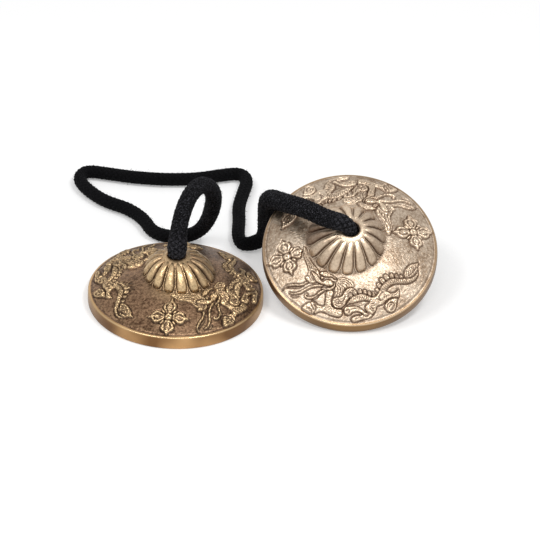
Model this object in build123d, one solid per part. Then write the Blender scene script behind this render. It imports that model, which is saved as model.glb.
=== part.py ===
from build123d import *
import math
import os

# Tingsha cymbals: two cast bronze cymbals on one soft braided cord.
# The left cymbal lies flat on the table and the right one leans towards the viewer.
# Millimetres, +Z up. The origin is under the middle of the pair, at table level.

# Rim and plate of one cymbal
disc_radius = 32.5
rim_height = 5.0
edge_round = 0.6
rest_ring_width = 5.0
plate_rise = 6.5
plate_wall = 3.3
under_step = 3.6

# Fluted boss in the middle
boss_radius = 13.5
boss_height = 8.6
boss_wall = 3.4
boss_swell_share = 0.08
flute_count = 16
groove_width = 1.1
groove_depth = 1.2
groove_foot_depth = 0.7
groove_top_land = 1.2

# Bore for the cord
bore_radius = 3.0
bore_lip = 0.6

# Cord and its stopper knots
cord_radius = 2.4
knot_wrap_radius = 3.6
knot_wrap_tilt_deg = 30.0
knot_core_radius = 4.2
knot_gap = 0.9
knot_tail_length = 3.2

# How the pair lies
pair_spacing = 64.0
right_setback = 9.2
right_tilt_deg = 26.9

overrun = 2.0

# Heights of one cymbal, worked out from its sizes
plate_top = rim_height + plate_rise
boss_top = plate_top + boss_height
bore_bottom = boss_top - boss_wall
ring_inner_radius = disc_radius - rest_ring_width
cup_radius = boss_radius - boss_wall
cup_foot = plate_top - plate_wall

# Where the two cymbals stand
tilt = math.radians(right_tilt_deg)
back_reach = disc_radius * math.cos(tilt) + rim_height * math.sin(tilt)
left_x = -pair_spacing / 2
left_y = (disc_radius - right_setback - back_reach) / 2
right_x = pair_spacing / 2
right_y = left_y + right_setback + rim_height * math.sin(tilt)
right_z = disc_radius * math.sin(tilt)

left_place = Location((left_x, left_y, 0))
right_place = Location((right_x, right_y, right_z), (right_tilt_deg, 0, 0))

# The cord's route along its middle, from the left knot to the right knot.
# Up out of the left bore and over in a standing loop.
# Along the table behind both cymbals, then up to the right bore.
cord_route = [
    (-32.0, -4.0, 16.2),
    (-32.0, -4.0, 25.5),
    (-30.1, 0.2, 34.6),
    (-26.6, 8.0, 40.0),
    (-21.8, 16.5, 39.0),
    (-17.2, 23.5, 30.5),
    (-17.8, 29.5, 18.0),
    (-21.5, 34.5, 7.0),
    (-27.5, 35.5, 2.6),
    (-35.5, 34.5, 2.6),
    (-41.5, 38.5, 2.6),
    (-45.0, 46.5, 2.6),
    (-52.0, 53.2, 2.6),
    (-60.5, 57.5, 2.6),
    (-66.0, 63.5, 2.6),
    (-70.2, 69.8, 2.6),
    (-72.2, 75.4, 2.6),
    (-68.6, 80.4, 2.6),
    (-60.6, 79.0, 2.6),
    (-50.0, 76.6, 2.6),
    (-38.0, 76.2, 2.6),
    (-26.0, 77.6, 2.6),
    (-17.0, 81.2, 2.6),
    (-9.2, 82.8, 2.6),
    (-6.5, 77.0, 2.6),
    (-8.4, 67.5, 2.6),
    (-10.2, 57.5, 2.6),
    (-9.6, 47.5, 2.6),
    (-9.4, 39.5, 2.6),
    (-7.4, 32.6, 2.6),
    (-0.5, 33.5, 4.4),
    (1.2, 30.0, 13.0),
    (1.6, 26.5, 21.8),
    (2.6, 20.8, 29.8),
    (7.2, 13.5, 33.6),
    (15.5, 4.0, 37.2),
    (23.2, -3.0, 37.6),
    (32.0, -3.68, 36.77),
    (32.0, 0.16, 29.19),
]


# Middle point of an arc that swells out of the line between two points
def swell_point(start, end, share):
    run_x = end[0] - start[0]
    run_z = end[1] - start[1]
    mid_x = (start[0] + end[0]) / 2
    mid_z = (start[1] + end[1]) / 2
    return (mid_x + run_z * share, mid_z - run_x * share)


# Half section of a cymbal, turned about its axis
def cymbal_body():
    boss_foot = (boss_radius, plate_top)
    lip_outer = (bore_radius + bore_lip, boss_top)
    lip_middle = (
        bore_radius + bore_lip * (1 - math.cos(math.pi / 4)),
        boss_top - bore_lip * (1 - math.sin(math.pi / 4)),
    )
    lip_inner = (bore_radius, boss_top - bore_lip)
    cup_top = (bore_radius, bore_bottom)
    cup_edge = (cup_radius, cup_foot)
    under_edge = (ring_inner_radius - plate_wall / 2, under_step)
    corner_share = 1 - math.cos(math.pi / 4)
    with BuildPart() as body:
        with BuildSketch(Plane.XZ):
            with BuildLine():
                Line((ring_inner_radius, 0), (disc_radius - edge_round, 0))
                ThreePointArc(
                    (disc_radius - edge_round, 0),
                    (disc_radius - edge_round * corner_share, edge_round * corner_share),
                    (disc_radius, edge_round),
                )
                Line((disc_radius, edge_round), (disc_radius, rim_height - edge_round))
                ThreePointArc(
                    (disc_radius, rim_height - edge_round),
                    (
                        disc_radius - edge_round * corner_share,
                        rim_height - edge_round * corner_share,
                    ),
                    (disc_radius - edge_round, rim_height),
                )
                Line((disc_radius - edge_round, rim_height), boss_foot)
                ThreePointArc(boss_foot, swell_point(boss_foot, lip_outer, boss_swell_share), lip_outer)
                ThreePointArc(lip_outer, lip_middle, lip_inner)
                Line(lip_inner, cup_top)
                ThreePointArc(cup_top, swell_point(cup_edge, cup_top, boss_swell_share), cup_edge)
                Line(cup_edge, under_edge)
                Line(under_edge, (ring_inner_radius, 0))
            make_face()
        revolve(axis=Axis.Z)
    return body.part


# One groove between two lobes of the boss, as the solid that is cut away
def groove_cutter():
    foot = (boss_radius - groove_foot_depth, plate_top)
    head = (bore_radius + bore_lip + groove_top_land, boss_top)
    swell = boss_swell_share - groove_depth / math.dist(foot, head)
    outside = boss_radius + overrun
    above = boss_top + overrun
    with BuildPart() as cutter:
        with BuildSketch(Plane.XZ):
            with BuildLine():
                ThreePointArc(foot, swell_point(foot, head, swell), head)
                Line(head, (head[0], above))
                Line((head[0], above), (outside, above))
                Line((outside, above), (outside, plate_top))
                Line((outside, plate_top), foot)
            make_face()
        extrude(amount=groove_width / 2, both=True)
    return cutter.part


# A whole cymbal: turned body with the flutes cut into its boss
def cymbal():
    cutter = groove_cutter()
    grooves = [Rot(0, 0, 360 * turn / flute_count) * cutter for turn in range(flute_count)]
    return cymbal_body() - grooves


# A stopper knot: two crossed wraps round a core, a neck up to the cord and a short tail
def knot(neck_end):
    wrap_reach = knot_wrap_radius * math.sin(math.radians(knot_wrap_tilt_deg)) + cord_radius
    centre = bore_bottom - knot_gap - wrap_reach
    body = Pos(0, 0, centre) * Sphere(knot_core_radius)
    for side in (-1, 1):
        wrap = Rot(side * knot_wrap_tilt_deg, 0, 0) * Torus(knot_wrap_radius, cord_radius)
        body += Pos(0, 0, centre) * wrap
    neck_length = neck_end - centre
    body += Pos(0, 0, centre + neck_length / 2) * Cylinder(cord_radius, neck_length)
    tail_length = knot_core_radius + knot_tail_length
    body += Pos(0, 0, centre - tail_length / 2) * Cylinder(cord_radius, tail_length)
    return body


# Radius at each corner of the cord: 0.45 of the shorter run over the tangent of half the turn
def corner_radii(points):
    run_share = 0.45
    radii = []
    for before, here, after in zip(points, points[1:], points[2:]):
        into = Vector(here) - Vector(before)
        away = Vector(after) - Vector(here)
        half_turn = math.radians(into.get_angle(away)) / 2
        radii.append(run_share * min(into.length, away.length) / math.tan(half_turn))
    return radii


# The cord: straight runs joined by tangent arcs, with a round section
def cord():
    radii = corner_radii(cord_route)
    path = FilletPolyline(*cord_route, radius=radii)
    start = Vector(cord_route[0])
    heading = Vector(cord_route[1]) - start
    section = Plane(origin=start, z_dir=heading) * Circle(cord_radius)
    tube = sweep(section, path=path)
    expected = math.pi * cord_radius**2 * path.length
    print("cord length", round(path.length, 1), "volume share", round(tube.volume / expected, 4))
    print("cord radii", [round(radius, 1) for radius in radii])
    return tube


# Height of a knot's neck in its own cymbal, from the end of the cord that meets it
left_neck_end = cord_route[0][2]
right_neck_end = math.dist(cord_route[-1], (right_x, right_y, right_z))

one_cymbal = cymbal()
nodes = {
    "left_cymbal": left_place * one_cymbal,
    "right_cymbal": right_place * one_cymbal,
    "cord": cord(),
    "left_knot": left_place * knot(left_neck_end),
    "right_knot": right_place * knot(right_neck_end),
}

os.makedirs("parts", exist_ok=True)
for name, solid in nodes.items():
    export_step(solid, os.path.join("parts", name + ".step"))
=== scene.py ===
import logging
import math
from dataclasses import dataclass, field, replace
from enum import Enum
from typing import Dict, List, Optional, Sequence, Tuple

import bpy
import numpy as np
from mathutils import Matrix, Vector


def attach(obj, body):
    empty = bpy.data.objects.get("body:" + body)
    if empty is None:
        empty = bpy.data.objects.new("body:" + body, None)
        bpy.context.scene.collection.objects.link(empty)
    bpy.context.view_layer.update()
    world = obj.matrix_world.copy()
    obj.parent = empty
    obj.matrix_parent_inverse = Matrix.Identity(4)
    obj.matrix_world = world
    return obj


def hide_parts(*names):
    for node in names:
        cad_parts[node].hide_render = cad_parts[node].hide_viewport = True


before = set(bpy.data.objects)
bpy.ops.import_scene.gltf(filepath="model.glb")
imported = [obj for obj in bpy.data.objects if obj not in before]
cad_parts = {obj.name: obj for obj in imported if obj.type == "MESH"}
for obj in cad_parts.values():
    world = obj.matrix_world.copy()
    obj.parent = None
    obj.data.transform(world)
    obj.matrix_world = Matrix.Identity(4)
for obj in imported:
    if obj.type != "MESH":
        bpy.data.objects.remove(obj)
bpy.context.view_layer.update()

MM = 0.001
LOG = logging.getLogger("tingsha")
# Per-point tags the bronze reads: recess for patina in the hollows and also for painted shade, crest for
# wiped wear and also for painted highlights, polish for the turned faces.
TAGS = ("recess", "crest", "polish")
MATH, MIX, RANGE, NOISE = "ShaderNodeMath", "ShaderNodeMix", "ShaderNodeMapRange", "ShaderNodeTexNoise"

Point2 = Tuple[float, float]
Point3 = Tuple[float, float, float]
Faces = List[Tuple[int, ...]]
Row = Tuple[np.ndarray, np.ndarray]
Feeds = Dict[object, object]


def linear(hex_colour: str) -> Tuple[float, float, float, float]:
    """Turns an sRGB hex colour into the linear colour a shader socket takes.

    Args:
        hex_colour: six hex digits with a leading #.

    Returns:
        Red, green, blue and alpha, linear.
    """
    channels = [int(hex_colour[i : i + 2], 16) / 255 for i in (1, 3, 5)]
    return tuple(c / 12.92 if c <= 0.04045 else ((c + 0.055) / 1.055) ** 2.4 for c in channels) + (1.0,)


def node(
    tree: bpy.types.NodeTree, kind: str, feeds: Optional[Feeds] = None, out: object = 0, **settings: object
) -> Optional[bpy.types.NodeSocket]:
    """Adds one node to a tree, with its settings, socket values and links.

    Args:
        tree: the shader or geometry tree.
        kind: Blender's type name for the node.
        feeds: input name or number to an output socket, which is linked, or to a constant.
        out: name or number of the output that is wanted.
        settings: the node's properties.

    Returns:
        The new node's output, if it has any.
    """
    made = tree.nodes.new(kind)
    for name, value in settings.items():
        setattr(made, name, value)
    for key, value in (feeds or {}).items():
        if isinstance(value, bpy.types.NodeSocket):
            tree.links.new(value, made.inputs[key])
        else:
            made.inputs[key].default_value = value
    return made.outputs[out] if made.outputs else None


def new_material(name: str) -> Tuple[bpy.types.Material, bpy.types.NodeTree]:
    """Starts a material.

    Args:
        name: the material's name.

    Returns:
        The material and its empty tree.
    """
    made = bpy.data.materials.new(name)
    made.use_nodes = True
    made.node_tree.nodes.clear()
    return made, made.node_tree


def ramp(value: np.ndarray, start: float, end: float) -> np.ndarray:
    """How far a value is on its way from start to end, from 0 to 1."""
    return np.clip((value - start) / (end - start), 0, 1)


def whole_turn(count: int) -> np.ndarray:
    """Evenly spaced angles of one whole turn."""
    return np.arange(count) * math.tau / count


def spun(points: np.ndarray, degrees: float) -> np.ndarray:
    """Turns points about the z axis.

    Args:
        points: one point per row.
        degrees: the angle.

    Returns:
        The turned points.
    """
    c, s = math.cos(math.radians(degrees)), math.sin(math.radians(degrees))
    x, y, z = points.T
    return np.stack([c * x - s * y, s * x + c * y, z], 1)


def arc(middle: Point2, radius: float, degrees: Sequence[float]) -> List[Point2]:
    """Points of an arc round its middle, at the given angles."""
    turns = np.radians(degrees)
    return list(zip(middle[0] + radius * np.cos(turns), middle[1] + radius * np.sin(turns)))


# Outlines and relief of the cast ornament


def smooth_line(points: Sequence[Point2], closed: bool, per_span: int = 6) -> np.ndarray:
    """Runs a Catmull-Rom curve through given points.

    Args:
        points: the points, in mm.
        closed: True where the last point joins the first.
        per_span: samples between two neighbouring points.

    Returns:
        The curve's points, one per row.
    """
    knots = np.asarray(points, dtype=float)
    if closed:
        knots = np.vstack([knots[-1], knots, knots[0], knots[1]])
    else:
        knots = np.vstack([2 * knots[0] - knots[1], knots, 2 * knots[-1] - knots[-2]])
    t = np.linspace(0, 1, per_span, endpoint=False)[:, None]
    spans = []
    for a, b, c, d in zip(knots[:-3], knots[1:-2], knots[2:-1], knots[3:]):
        square, cube = 2 * a - 5 * b + 4 * c - d, 3 * b - a - 3 * c + d
        spans.append(0.5 * (2 * b + (c - a) * t + square * t**2 + cube * t**3))
    line = np.vstack(spans)
    return np.vstack([line, line[0]]) if closed else np.vstack([line, knots[-2]])


def line_distance(x: np.ndarray, y: np.ndarray, line: np.ndarray) -> Tuple[np.ndarray, np.ndarray]:
    """Measures how far points are from a line and where along it they are nearest.

    Args:
        x: the points' x, in mm.
        y: the points' y, in mm.
        line: the line's points, one per row.

    Returns:
        Distance in mm, and the share of the line's length from 0 to 1.
    """
    a, step = line[:-1], np.diff(line, axis=0)
    size = np.maximum((step**2).sum(1), 1e-9)
    dx, dy = x[:, None] - a[:, 0], y[:, None] - a[:, 1]
    along = np.clip((dx * step[:, 0] + dy * step[:, 1]) / size, 0, 1)
    gap = np.hypot(dx - along * step[:, 0], dy - along * step[:, 1])
    nearest = gap.argmin(1)
    runs = np.sqrt(size)
    start = np.concatenate([[0.0], np.cumsum(runs)])
    rows = np.arange(len(x))
    share = (start[nearest] + along[rows, nearest] * runs[nearest]) / start[-1]
    return gap[rows, nearest], share


def inside_line(x: np.ndarray, y: np.ndarray, line: np.ndarray) -> np.ndarray:
    """Tells which points are inside a closed line.

    Args:
        x: the points' x, in mm.
        y: the points' y, in mm.
        line: the closed line's points, one per row.

    Returns:
        True for each point inside.
    """
    a, b = line[:-1], line[1:]
    crosses = (a[:, 1] > y[:, None]) != (b[:, 1] > y[:, None])
    rise = np.where(np.abs(b[:, 1] - a[:, 1]) < 1e-9, 1e-9, b[:, 1] - a[:, 1])
    at = a[:, 0] + (y[:, None] - a[:, 1]) * (b[:, 0] - a[:, 0]) / rise
    return (crosses & (x[:, None] < at)).sum(1) % 2 == 1


class Form(Enum):
    """How one line of the ornament is modelled."""

    BAND = "raised rounded band along the line"
    PAD = "raised area inside the closed line"
    CUT = "fine groove along the line"


@dataclass(frozen=True)
class Mark:
    """One form of the cast ornament, in mm in the cymbal's own plan."""

    form: Form
    points: Tuple[Point2, ...]
    width: float = 0.8
    lift: float = 0.42
    taper: Tuple[float, float] = (1.0, 1.0)
    edge: float = 1.0

    def turned(self, angle: float, move: Point2 = (0.0, 0.0)) -> "Mark":
        """Turns the mark about its origin and moves it.

        Args:
            angle: turn in radians.
            move: shift in mm, after the turn.

        Returns:
            The placed mark.
        """
        c, s = math.cos(angle), math.sin(angle)
        placed = tuple((c * x - s * y + move[0], s * x + c * y + move[1]) for x, y in self.points)
        return replace(self, points=placed)


def band(width: float, *points: Point2, lift: float = 0.42, taper: Tuple[float, float] = (1.0, 1.0)) -> Mark:
    """A raised band of the given width through the points, its ends narrowed to the taper's shares."""
    return Mark(Form.BAND, points, width, lift, taper)


def pad(lift: float, *points: Point2, edge: float = 1.0) -> Mark:
    """A raised area inside the points, its outline's groove a share of the full depth."""
    return Mark(Form.PAD, points, 0.0, lift, edge=edge)


def cut(width: float, *points: Point2, depth: float = 1.0) -> Mark:
    """A fine groove along the points, its depth a share of the full outline's."""
    return Mark(Form.CUT, points, width, depth)


@dataclass(frozen=True)
class Push:
    """A place where the modeller pushed the soft wax of one dragon aside, in mm: middle, reach and move."""

    middle: Point2
    reach: Point2
    move: Point2

    def moved(self, mark: Mark) -> Mark:
        """Moves a form's points, most at the middle and less further off.

        Args:
            mark: the form.

        Returns:
            The form with its points moved.
        """
        (mx, my), (rx, ry), (dx, dy) = self.middle, self.reach, self.move
        points = []
        for x, y in mark.points:
            share = math.exp(-(((x - mx) / rx) ** 2) - ((y - my) / ry) ** 2)
            points.append((x + share * dx, y + share * dy))
        return replace(mark, points=tuple(points))


@dataclass
class Dragon:
    """The cast dragon, on each cymbal twice, half a turn apart, each modelled a little differently."""

    pushes: Tuple[Push, ...] = ()
    body_lift: float = 0.50
    leaf_lift: float = 0.42
    scale_pitch: float = 0.80
    scale_half: float = 0.72
    scale_tip: float = 0.34
    dot_pitch: float = 0.85

    def tail_leaf(self) -> List[Mark]:
        """The leaf-shaped end of the tail with its veins.

        Returns:
            Its forms.
        """
        leaf = pad(
            self.leaf_lift, (20.1, -12.1), (20.3, -10.7), (20.9, -9.4), (21.8, -8.2), (23.0, -7.3),
            (24.2, -6.8), (25.5, -6.1), (25.2, -7.6), (25.3, -9.0), (25.3, -10.3), (24.6, -11.8),
            (23.3, -13.0), (21.8, -13.6), (20.5, -13.4),
        )
        veins = [
            cut(0.30, (20.9, -12.9), (22.3, -11.8), (23.5, -10.4), (24.5, -8.4)),
            cut(0.24, (20.9, -12.2), (20.9, -11.0), (21.3, -9.8)),
            cut(0.24, (21.6, -11.8), (21.8, -10.2), (22.2, -8.8)),
            cut(0.24, (22.3, -11.2), (22.6, -9.7), (23.0, -8.2)),
            cut(0.24, (23.0, -10.6), (23.4, -9.2), (23.7, -7.7)),
            cut(0.22, (23.7, -9.6), (24.1, -8.4), (24.4, -7.4)),
            cut(0.24, (22.0, -13.0), (23.4, -12.1), (24.6, -10.6)),
            cut(0.22, (22.8, -12.0), (23.9, -11.0), (24.8, -9.4)),
        ]
        return [leaf, *veins]

    def spine(self, foot: Point2, lean_deg: float, height: float) -> List[Mark]:
        """One round-topped spine of the back.

        Args:
            foot: the middle of its foot, in mm.
            lean_deg: the direction it points in.
            height: its height in mm.

        Returns:
            The spine as a raised area with the small curl in it.
        """
        half = 0.46 * height
        shape = pad(
            0.36, (-0.4, -half), (0.5 * height, -1.02 * half), (0.95 * height, -0.55 * half),
            (1.02 * height, 0.25 * half), (0.62 * height, 0.95 * half), (-0.4, 0.9 * half),
        )
        curl = cut(
            0.24, (0.05, 0.1 * half), (0.45 * height, 0.45 * half), (0.68 * height, 0.0),
            (0.5 * height, -0.35 * half), depth=0.8,
        )
        return [mark.turned(math.radians(lean_deg), foot) for mark in (shape, curl)]

    def spines(self) -> List[Mark]:
        """The row of spines along the back.

        Returns:
            Their forms.
        """
        seats = (
            ((19.2, -13.7), 96, 1.4), ((17.5, -13.9), 98, 1.5), ((15.7, -14.2), 104, 1.7),
            ((14.0, -15.0), 114, 1.9), ((12.6, -16.4), 126, 1.9), ((11.6, -18.1), 142, 1.7),
            ((10.9, -19.8), 150, 1.4), ((9.2, -21.6), 106, 1.4), ((7.5, -21.6), 94, 1.5),
            ((5.8, -21.3), 92, 1.6), ((4.1, -21.3), 98, 1.6), ((2.4, -21.7), 110, 1.6),
            ((0.9, -22.6), 124, 1.6),
        )
        return [mark for foot, lean, height in seats for mark in self.spine(foot, lean, height)]

    def trunk(self) -> List[Mark]:
        """The long body in one piece: arched middle, hip, hind leg, tail, and the loop and foot by the rim.

        Returns:
            Its forms.
        """
        loop = pad(
            self.body_lift, (9.6, -26.6), (9.2, -27.8), (8.6, -28.8), (7.4, -29.6), (5.7, -30.1),
            (4.1, -30.6), (2.8, -31.1), (1.9, -31.3), (1.2, -30.7), (1.0, -29.9), (2.2, -29.0), (4.0, -28.6),
            (5.4, -28.2), (6.6, -27.4), (7.6, -26.2), (8.6, -25.6),
        )
        flame = pad(
            0.42, (13.2, -24.9), (13.7, -23.5), (14.8, -22.3), (16.1, -21.4), (17.9, -20.9), (17.8, -23.0),
            (17.5, -24.7), (16.9, -25.9), (15.6, -26.6), (14.2, -26.3),
        )
        curl = [
            cut(
                0.28, (14.2, -25.3), (14.4, -24.0), (15.3, -23.1), (16.3, -23.2), (16.8, -24.2),
                (16.4, -25.3), (15.5, -25.8),
            ),
            cut(0.24, (14.9, -24.9), (15.3, -24.1), (15.9, -23.8)),
            cut(0.24, (16.0, -25.4), (16.2, -24.6), (16.6, -23.9)),
        ]
        body = pad(
            self.body_lift, (-0.9, -25.5), (-0.3, -24.1), (0.8, -22.8), (2.4, -21.8), (4.5, -21.3),
            (6.5, -21.5), (8.3, -22.0), (9.5, -21.7), (10.4, -20.8), (11.1, -19.5), (11.6, -18.2),
            (12.5, -16.9), (13.8, -15.6), (15.2, -14.6), (16.8, -14.1), (18.7, -13.9), (20.6, -13.4),
            (22.3, -12.9), (23.6, -12.0), (24.6, -10.8), (25.3, -9.4), (25.5, -10.5), (25.0, -12.1),
            (23.9, -13.7), (22.4, -14.8), (20.6, -15.5), (18.5, -15.9), (16.6, -16.4), (15.2, -17.2),
            (14.3, -18.2), (13.8, -19.2), (14.8, -19.7), (16.2, -19.6), (17.3, -18.9), (18.2, -17.9),
            (18.6, -19.2), (18.4, -20.8), (17.2, -21.1), (15.8, -21.4), (14.4, -22.3), (13.3, -23.5),
            (12.0, -24.5), (10.5, -25.1), (10.2, -26.2), (9.6, -27.3), (8.9, -28.0), (7.8, -27.8),
            (6.8, -27.2), (6.0, -26.3), (6.2, -25.3), (7.0, -24.6), (7.5, -23.9), (6.4, -23.6), (4.8, -23.7),
            (3.2, -24.2), (1.6, -24.7), (0.2, -25.0),
        )
        foot = pad(
            0.44, (-0.8, -25.8), (0.7, -25.6), (2.4, -25.6), (3.9, -26.0), (5.0, -26.7), (6.2, -27.4),
            (7.4, -28.2), (6.3, -28.8), (5.1, -28.1), (4.1, -27.7), (2.8, -27.5), (1.5, -28.0), (0.6, -28.7),
            (-0.6, -28.8), (-1.5, -28.2), (-1.8, -27.1), (-1.5, -26.3),
        )
        folds = [
            cut(0.36, (12.3, -20.0), (11.4, -20.9), (11.0, -22.0), (11.6, -23.0)),
            cut(0.24, (10.2, -22.4), (10.9, -22.8)), cut(0.24, (16.4, -20.6), (17.3, -20.0), (17.9, -19.0)),
            cut(0.28, (-0.9, -27.5), (-0.3, -27.0), (0.4, -27.3), (0.2, -28.0)),
            cut(0.22, (1.6, -26.6), (3.2, -26.6), (4.6, -27.2), depth=0.7),
            cut(0.22, (2.0, -29.3), (3.0, -28.9), (4.4, -29.0)),
            cut(0.22, (2.4, -30.2), (3.4, -29.8), (4.8, -29.6)),
            cut(0.22, (5.6, -28.9), (6.8, -28.9), (7.9, -28.3), depth=0.7),
            cut(0.20, (1.4, -25.1), (3.0, -25.0), (4.6, -24.6), depth=0.6),
            cut(0.20, (3.6, -25.5), (4.8, -25.3), (5.6, -25.0), depth=0.6),
        ]
        return [loop, flame, *curl, body, foot, *folds]

    def chest(self) -> List[Mark]:
        """Neck, chest, front leg and claw, with the curled thigh.

        Returns:
            Their forms.
        """
        neck = pad(
            self.body_lift, (-8.0, -20.3), (-8.6, -21.6), (-8.6, -23.0), (-8.8, -24.4), (-9.0, -25.6),
            (-10.4, -25.5), (-11.6, -24.9), (-12.5, -24.0), (-13.3, -24.4), (-13.0, -26.4), (-12.4, -28.2),
            (-11.0, -27.7), (-9.5, -27.7), (-8.0, -28.3), (-6.5, -29.0), (-5.0, -29.4), (-3.4, -29.5),
            (-2.4, -28.9), (-2.2, -27.8), (-2.4, -26.8), (-4.0, -26.8), (-5.8, -26.0), (-6.4, -24.4),
            (-6.1, -22.6), (-5.6, -21.2), (-6.4, -20.2),
        )
        thigh = pad(
            0.46, (-6.3, -24.3), (-5.9, -23.2), (-4.8, -22.8), (-3.4, -22.6), (-2.4, -21.9), (-1.8, -20.8),
            (-1.0, -19.9), (0.3, -19.4), (1.7, -19.4), (2.2, -20.4), (1.6, -21.6), (0.4, -22.8),
            (-0.7, -24.2), (-1.5, -25.5), (-2.8, -26.5), (-4.4, -26.6), (-5.7, -25.8),
        )
        swirl = [
            cut(
                0.28, (-5.2, -24.4), (-4.6, -23.6), (-3.8, -23.5), (-3.4, -24.2), (-2.8, -24.4),
                (-2.1, -24.0), (-1.6, -23.1), (-1.4, -22.0),
            ),
            cut(0.28, (-4.8, -24.6), (-4.2, -25.0), (-3.4, -24.9), (-2.6, -25.0), (-2.0, -24.6)),
            cut(0.26, (-4.9, -25.3), (-4.0, -25.9), (-3.0, -25.8), (-2.2, -25.2)),
            cut(0.24, (-4.4, -24.2), (-3.9, -24.4), (-3.7, -24.9)),
            cut(0.26, (-0.6, -22.8), (0.1, -21.6), (0.9, -20.4), (1.6, -20.2), (1.5, -20.9), (0.8, -21.4)),
            cut(0.22, (-0.9, -21.9), (-0.4, -20.8), (0.4, -20.0), depth=0.8),
        ]
        paw = pad(
            0.48, (-17.3, -26.2), (-17.0, -25.4), (-15.8, -24.5), (-14.6, -24.0), (-13.4, -23.8),
            (-12.6, -24.4), (-12.2, -25.4), (-12.0, -26.4), (-12.4, -27.4), (-13.2, -28.3), (-14.4, -28.3),
            (-15.4, -27.6), (-16.5, -27.0),
        )
        toes = [
            cut(0.32, (-14.1, -24.2), (-13.6, -25.2), (-13.0, -26.1), (-12.8, -26.9)),
            cut(0.30, (-15.5, -26.2), (-14.6, -26.1), (-13.8, -26.6), (-13.3, -27.3)),
            cut(0.26, (-14.4, -26.9), (-13.6, -27.4), (-13.4, -28.0)),
            cut(0.24, (-13.0, -24.6), (-12.6, -25.4)),
            cut(0.24, (-12.0, -25.6), (-11.2, -26.2), (-10.2, -26.3), depth=0.7),
        ]
        return [neck, thigh, *swirl, paw, *toes]

    def mane(self) -> List[Mark]:
        """The mane, which flows up past the boss and curls beside it.

        Returns:
            Its forms.
        """
        mass = pad(
            0.44, (-15.2, -2.7), (-15.8, -4.6), (-15.8, -6.8), (-15.2, -9.0), (-14.9, -11.0), (-15.1, -12.8),
            (-15.6, -14.2), (-16.4, -15.1), (-15.4, -16.6), (-14.2, -17.3), (-12.8, -17.4), (-11.4, -16.6),
            (-10.3, -15.6), (-9.9, -14.2), (-9.7, -13.0), (-10.1, -12.1), (-10.4, -11.3), (-10.8, -10.4),
            (-11.4, -9.4), (-12.3, -8.0), (-13.1, -6.2), (-13.6, -4.2), (-14.2, -2.9), edge=0.75,
        )
        locks = [
            cut(0.26, (-15.2, -4.6), (-15.1, -6.8), (-14.4, -9.0), (-13.8, -10.8), (-13.9, -12.6)),
            cut(0.26, (-14.6, -6.8), (-13.7, -8.8), (-13.0, -10.4), (-12.7, -11.9)),
            cut(0.24, (-13.7, -8.0), (-12.8, -9.6), (-12.0, -11.0), (-11.9, -12.2)),
            cut(0.22, (-14.4, -4.2), (-14.0, -6.2), (-13.0, -8.0), (-12.0, -9.4), (-11.2, -10.8)),
            cut(0.20, (-13.4, -6.6), (-12.5, -8.2), (-11.6, -9.6), (-11.0, -10.4), depth=0.7),
            cut(0.26, (-14.4, -12.4), (-14.4, -13.8), (-14.0, -15.2), (-13.2, -16.4)),
            cut(0.24, (-15.6, -14.6), (-14.9, -14.6), (-14.5, -15.6), (-13.9, -16.6)),
            cut(0.26, (-11.4, -11.6), (-11.0, -12.4), (-11.3, -13.0)),
        ]
        lock = pad(
            0.42, (-10.0, -13.7), (-9.2, -13.0), (-8.0, -12.7), (-6.6, -12.8), (-5.4, -13.5), (-4.4, -14.4),
            (-3.4, -15.6), (-4.2, -15.8), (-5.2, -15.0), (-6.4, -15.1), (-7.8, -15.0), (-9.2, -14.4),
        )
        hatch = [
            cut(0.20, (-7.0 + k, -13.4 - 0.35 * k), (-6.3 + k, -14.4 - 0.35 * k), depth=0.6)
            for k in (0.0, 0.8, 1.6)
        ]
        knob = [
            pad(
                0.46, (-10.2, -15.6), (-9.7, -14.9), (-8.9, -14.9), (-8.5, -15.5), (-9.2, -16.1),
                (-9.9, -16.2),
            ),
            cut(0.22, (-9.7, -15.5), (-9.2, -15.3)),
        ]
        curls = pad(
            0.42, (-3.6, -16.4), (-2.8, -15.5), (-1.4, -15.0), (0.2, -15.2), (1.4, -16.1), (2.1, -17.3),
            (2.3, -18.5), (1.4, -19.1), (0.2, -19.2), (-1.0, -19.8), (-1.8, -20.8), (-2.4, -22.0),
            (-3.4, -22.7), (-4.8, -22.9), (-5.7, -22.6), (-5.8, -21.2), (-5.4, -19.9), (-4.8, -18.6),
            (-4.6, -17.3), edge=0.45,
        )
        waves = [
            cut(0.26, (-2.6, -16.2), (-1.4, -15.9), (-0.1, -16.3), (0.9, -17.2), (1.4, -18.3)),
            cut(0.24, (-2.6, -16.9), (-1.5, -16.7), (-0.4, -17.2), (0.4, -18.2)),
            cut(0.24, (-2.7, -17.5), (-1.8, -17.5), (-1.0, -18.1), (-0.4, -19.0)),
            cut(0.24, (-3.4, -17.6), (-2.6, -18.4), (-1.8, -19.2), (-1.6, -20.0)),
            cut(0.24, (-4.0, -18.2), (-3.3, -19.4), (-3.1, -20.6), (-3.5, -21.9)),
            cut(0.24, (-4.6, -19.2), (-4.1, -20.4), (-4.2, -21.5), (-4.7, -22.4)),
            cut(0.22, (-5.2, -20.4), (-5.1, -21.4), (-5.4, -22.2)),
            cut(0.22, (-2.5, -19.6), (-2.3, -20.6), (-2.9, -21.6)),
        ]
        return [mass, *locks, lock, *hatch, *knob, curls, *waves]

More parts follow.
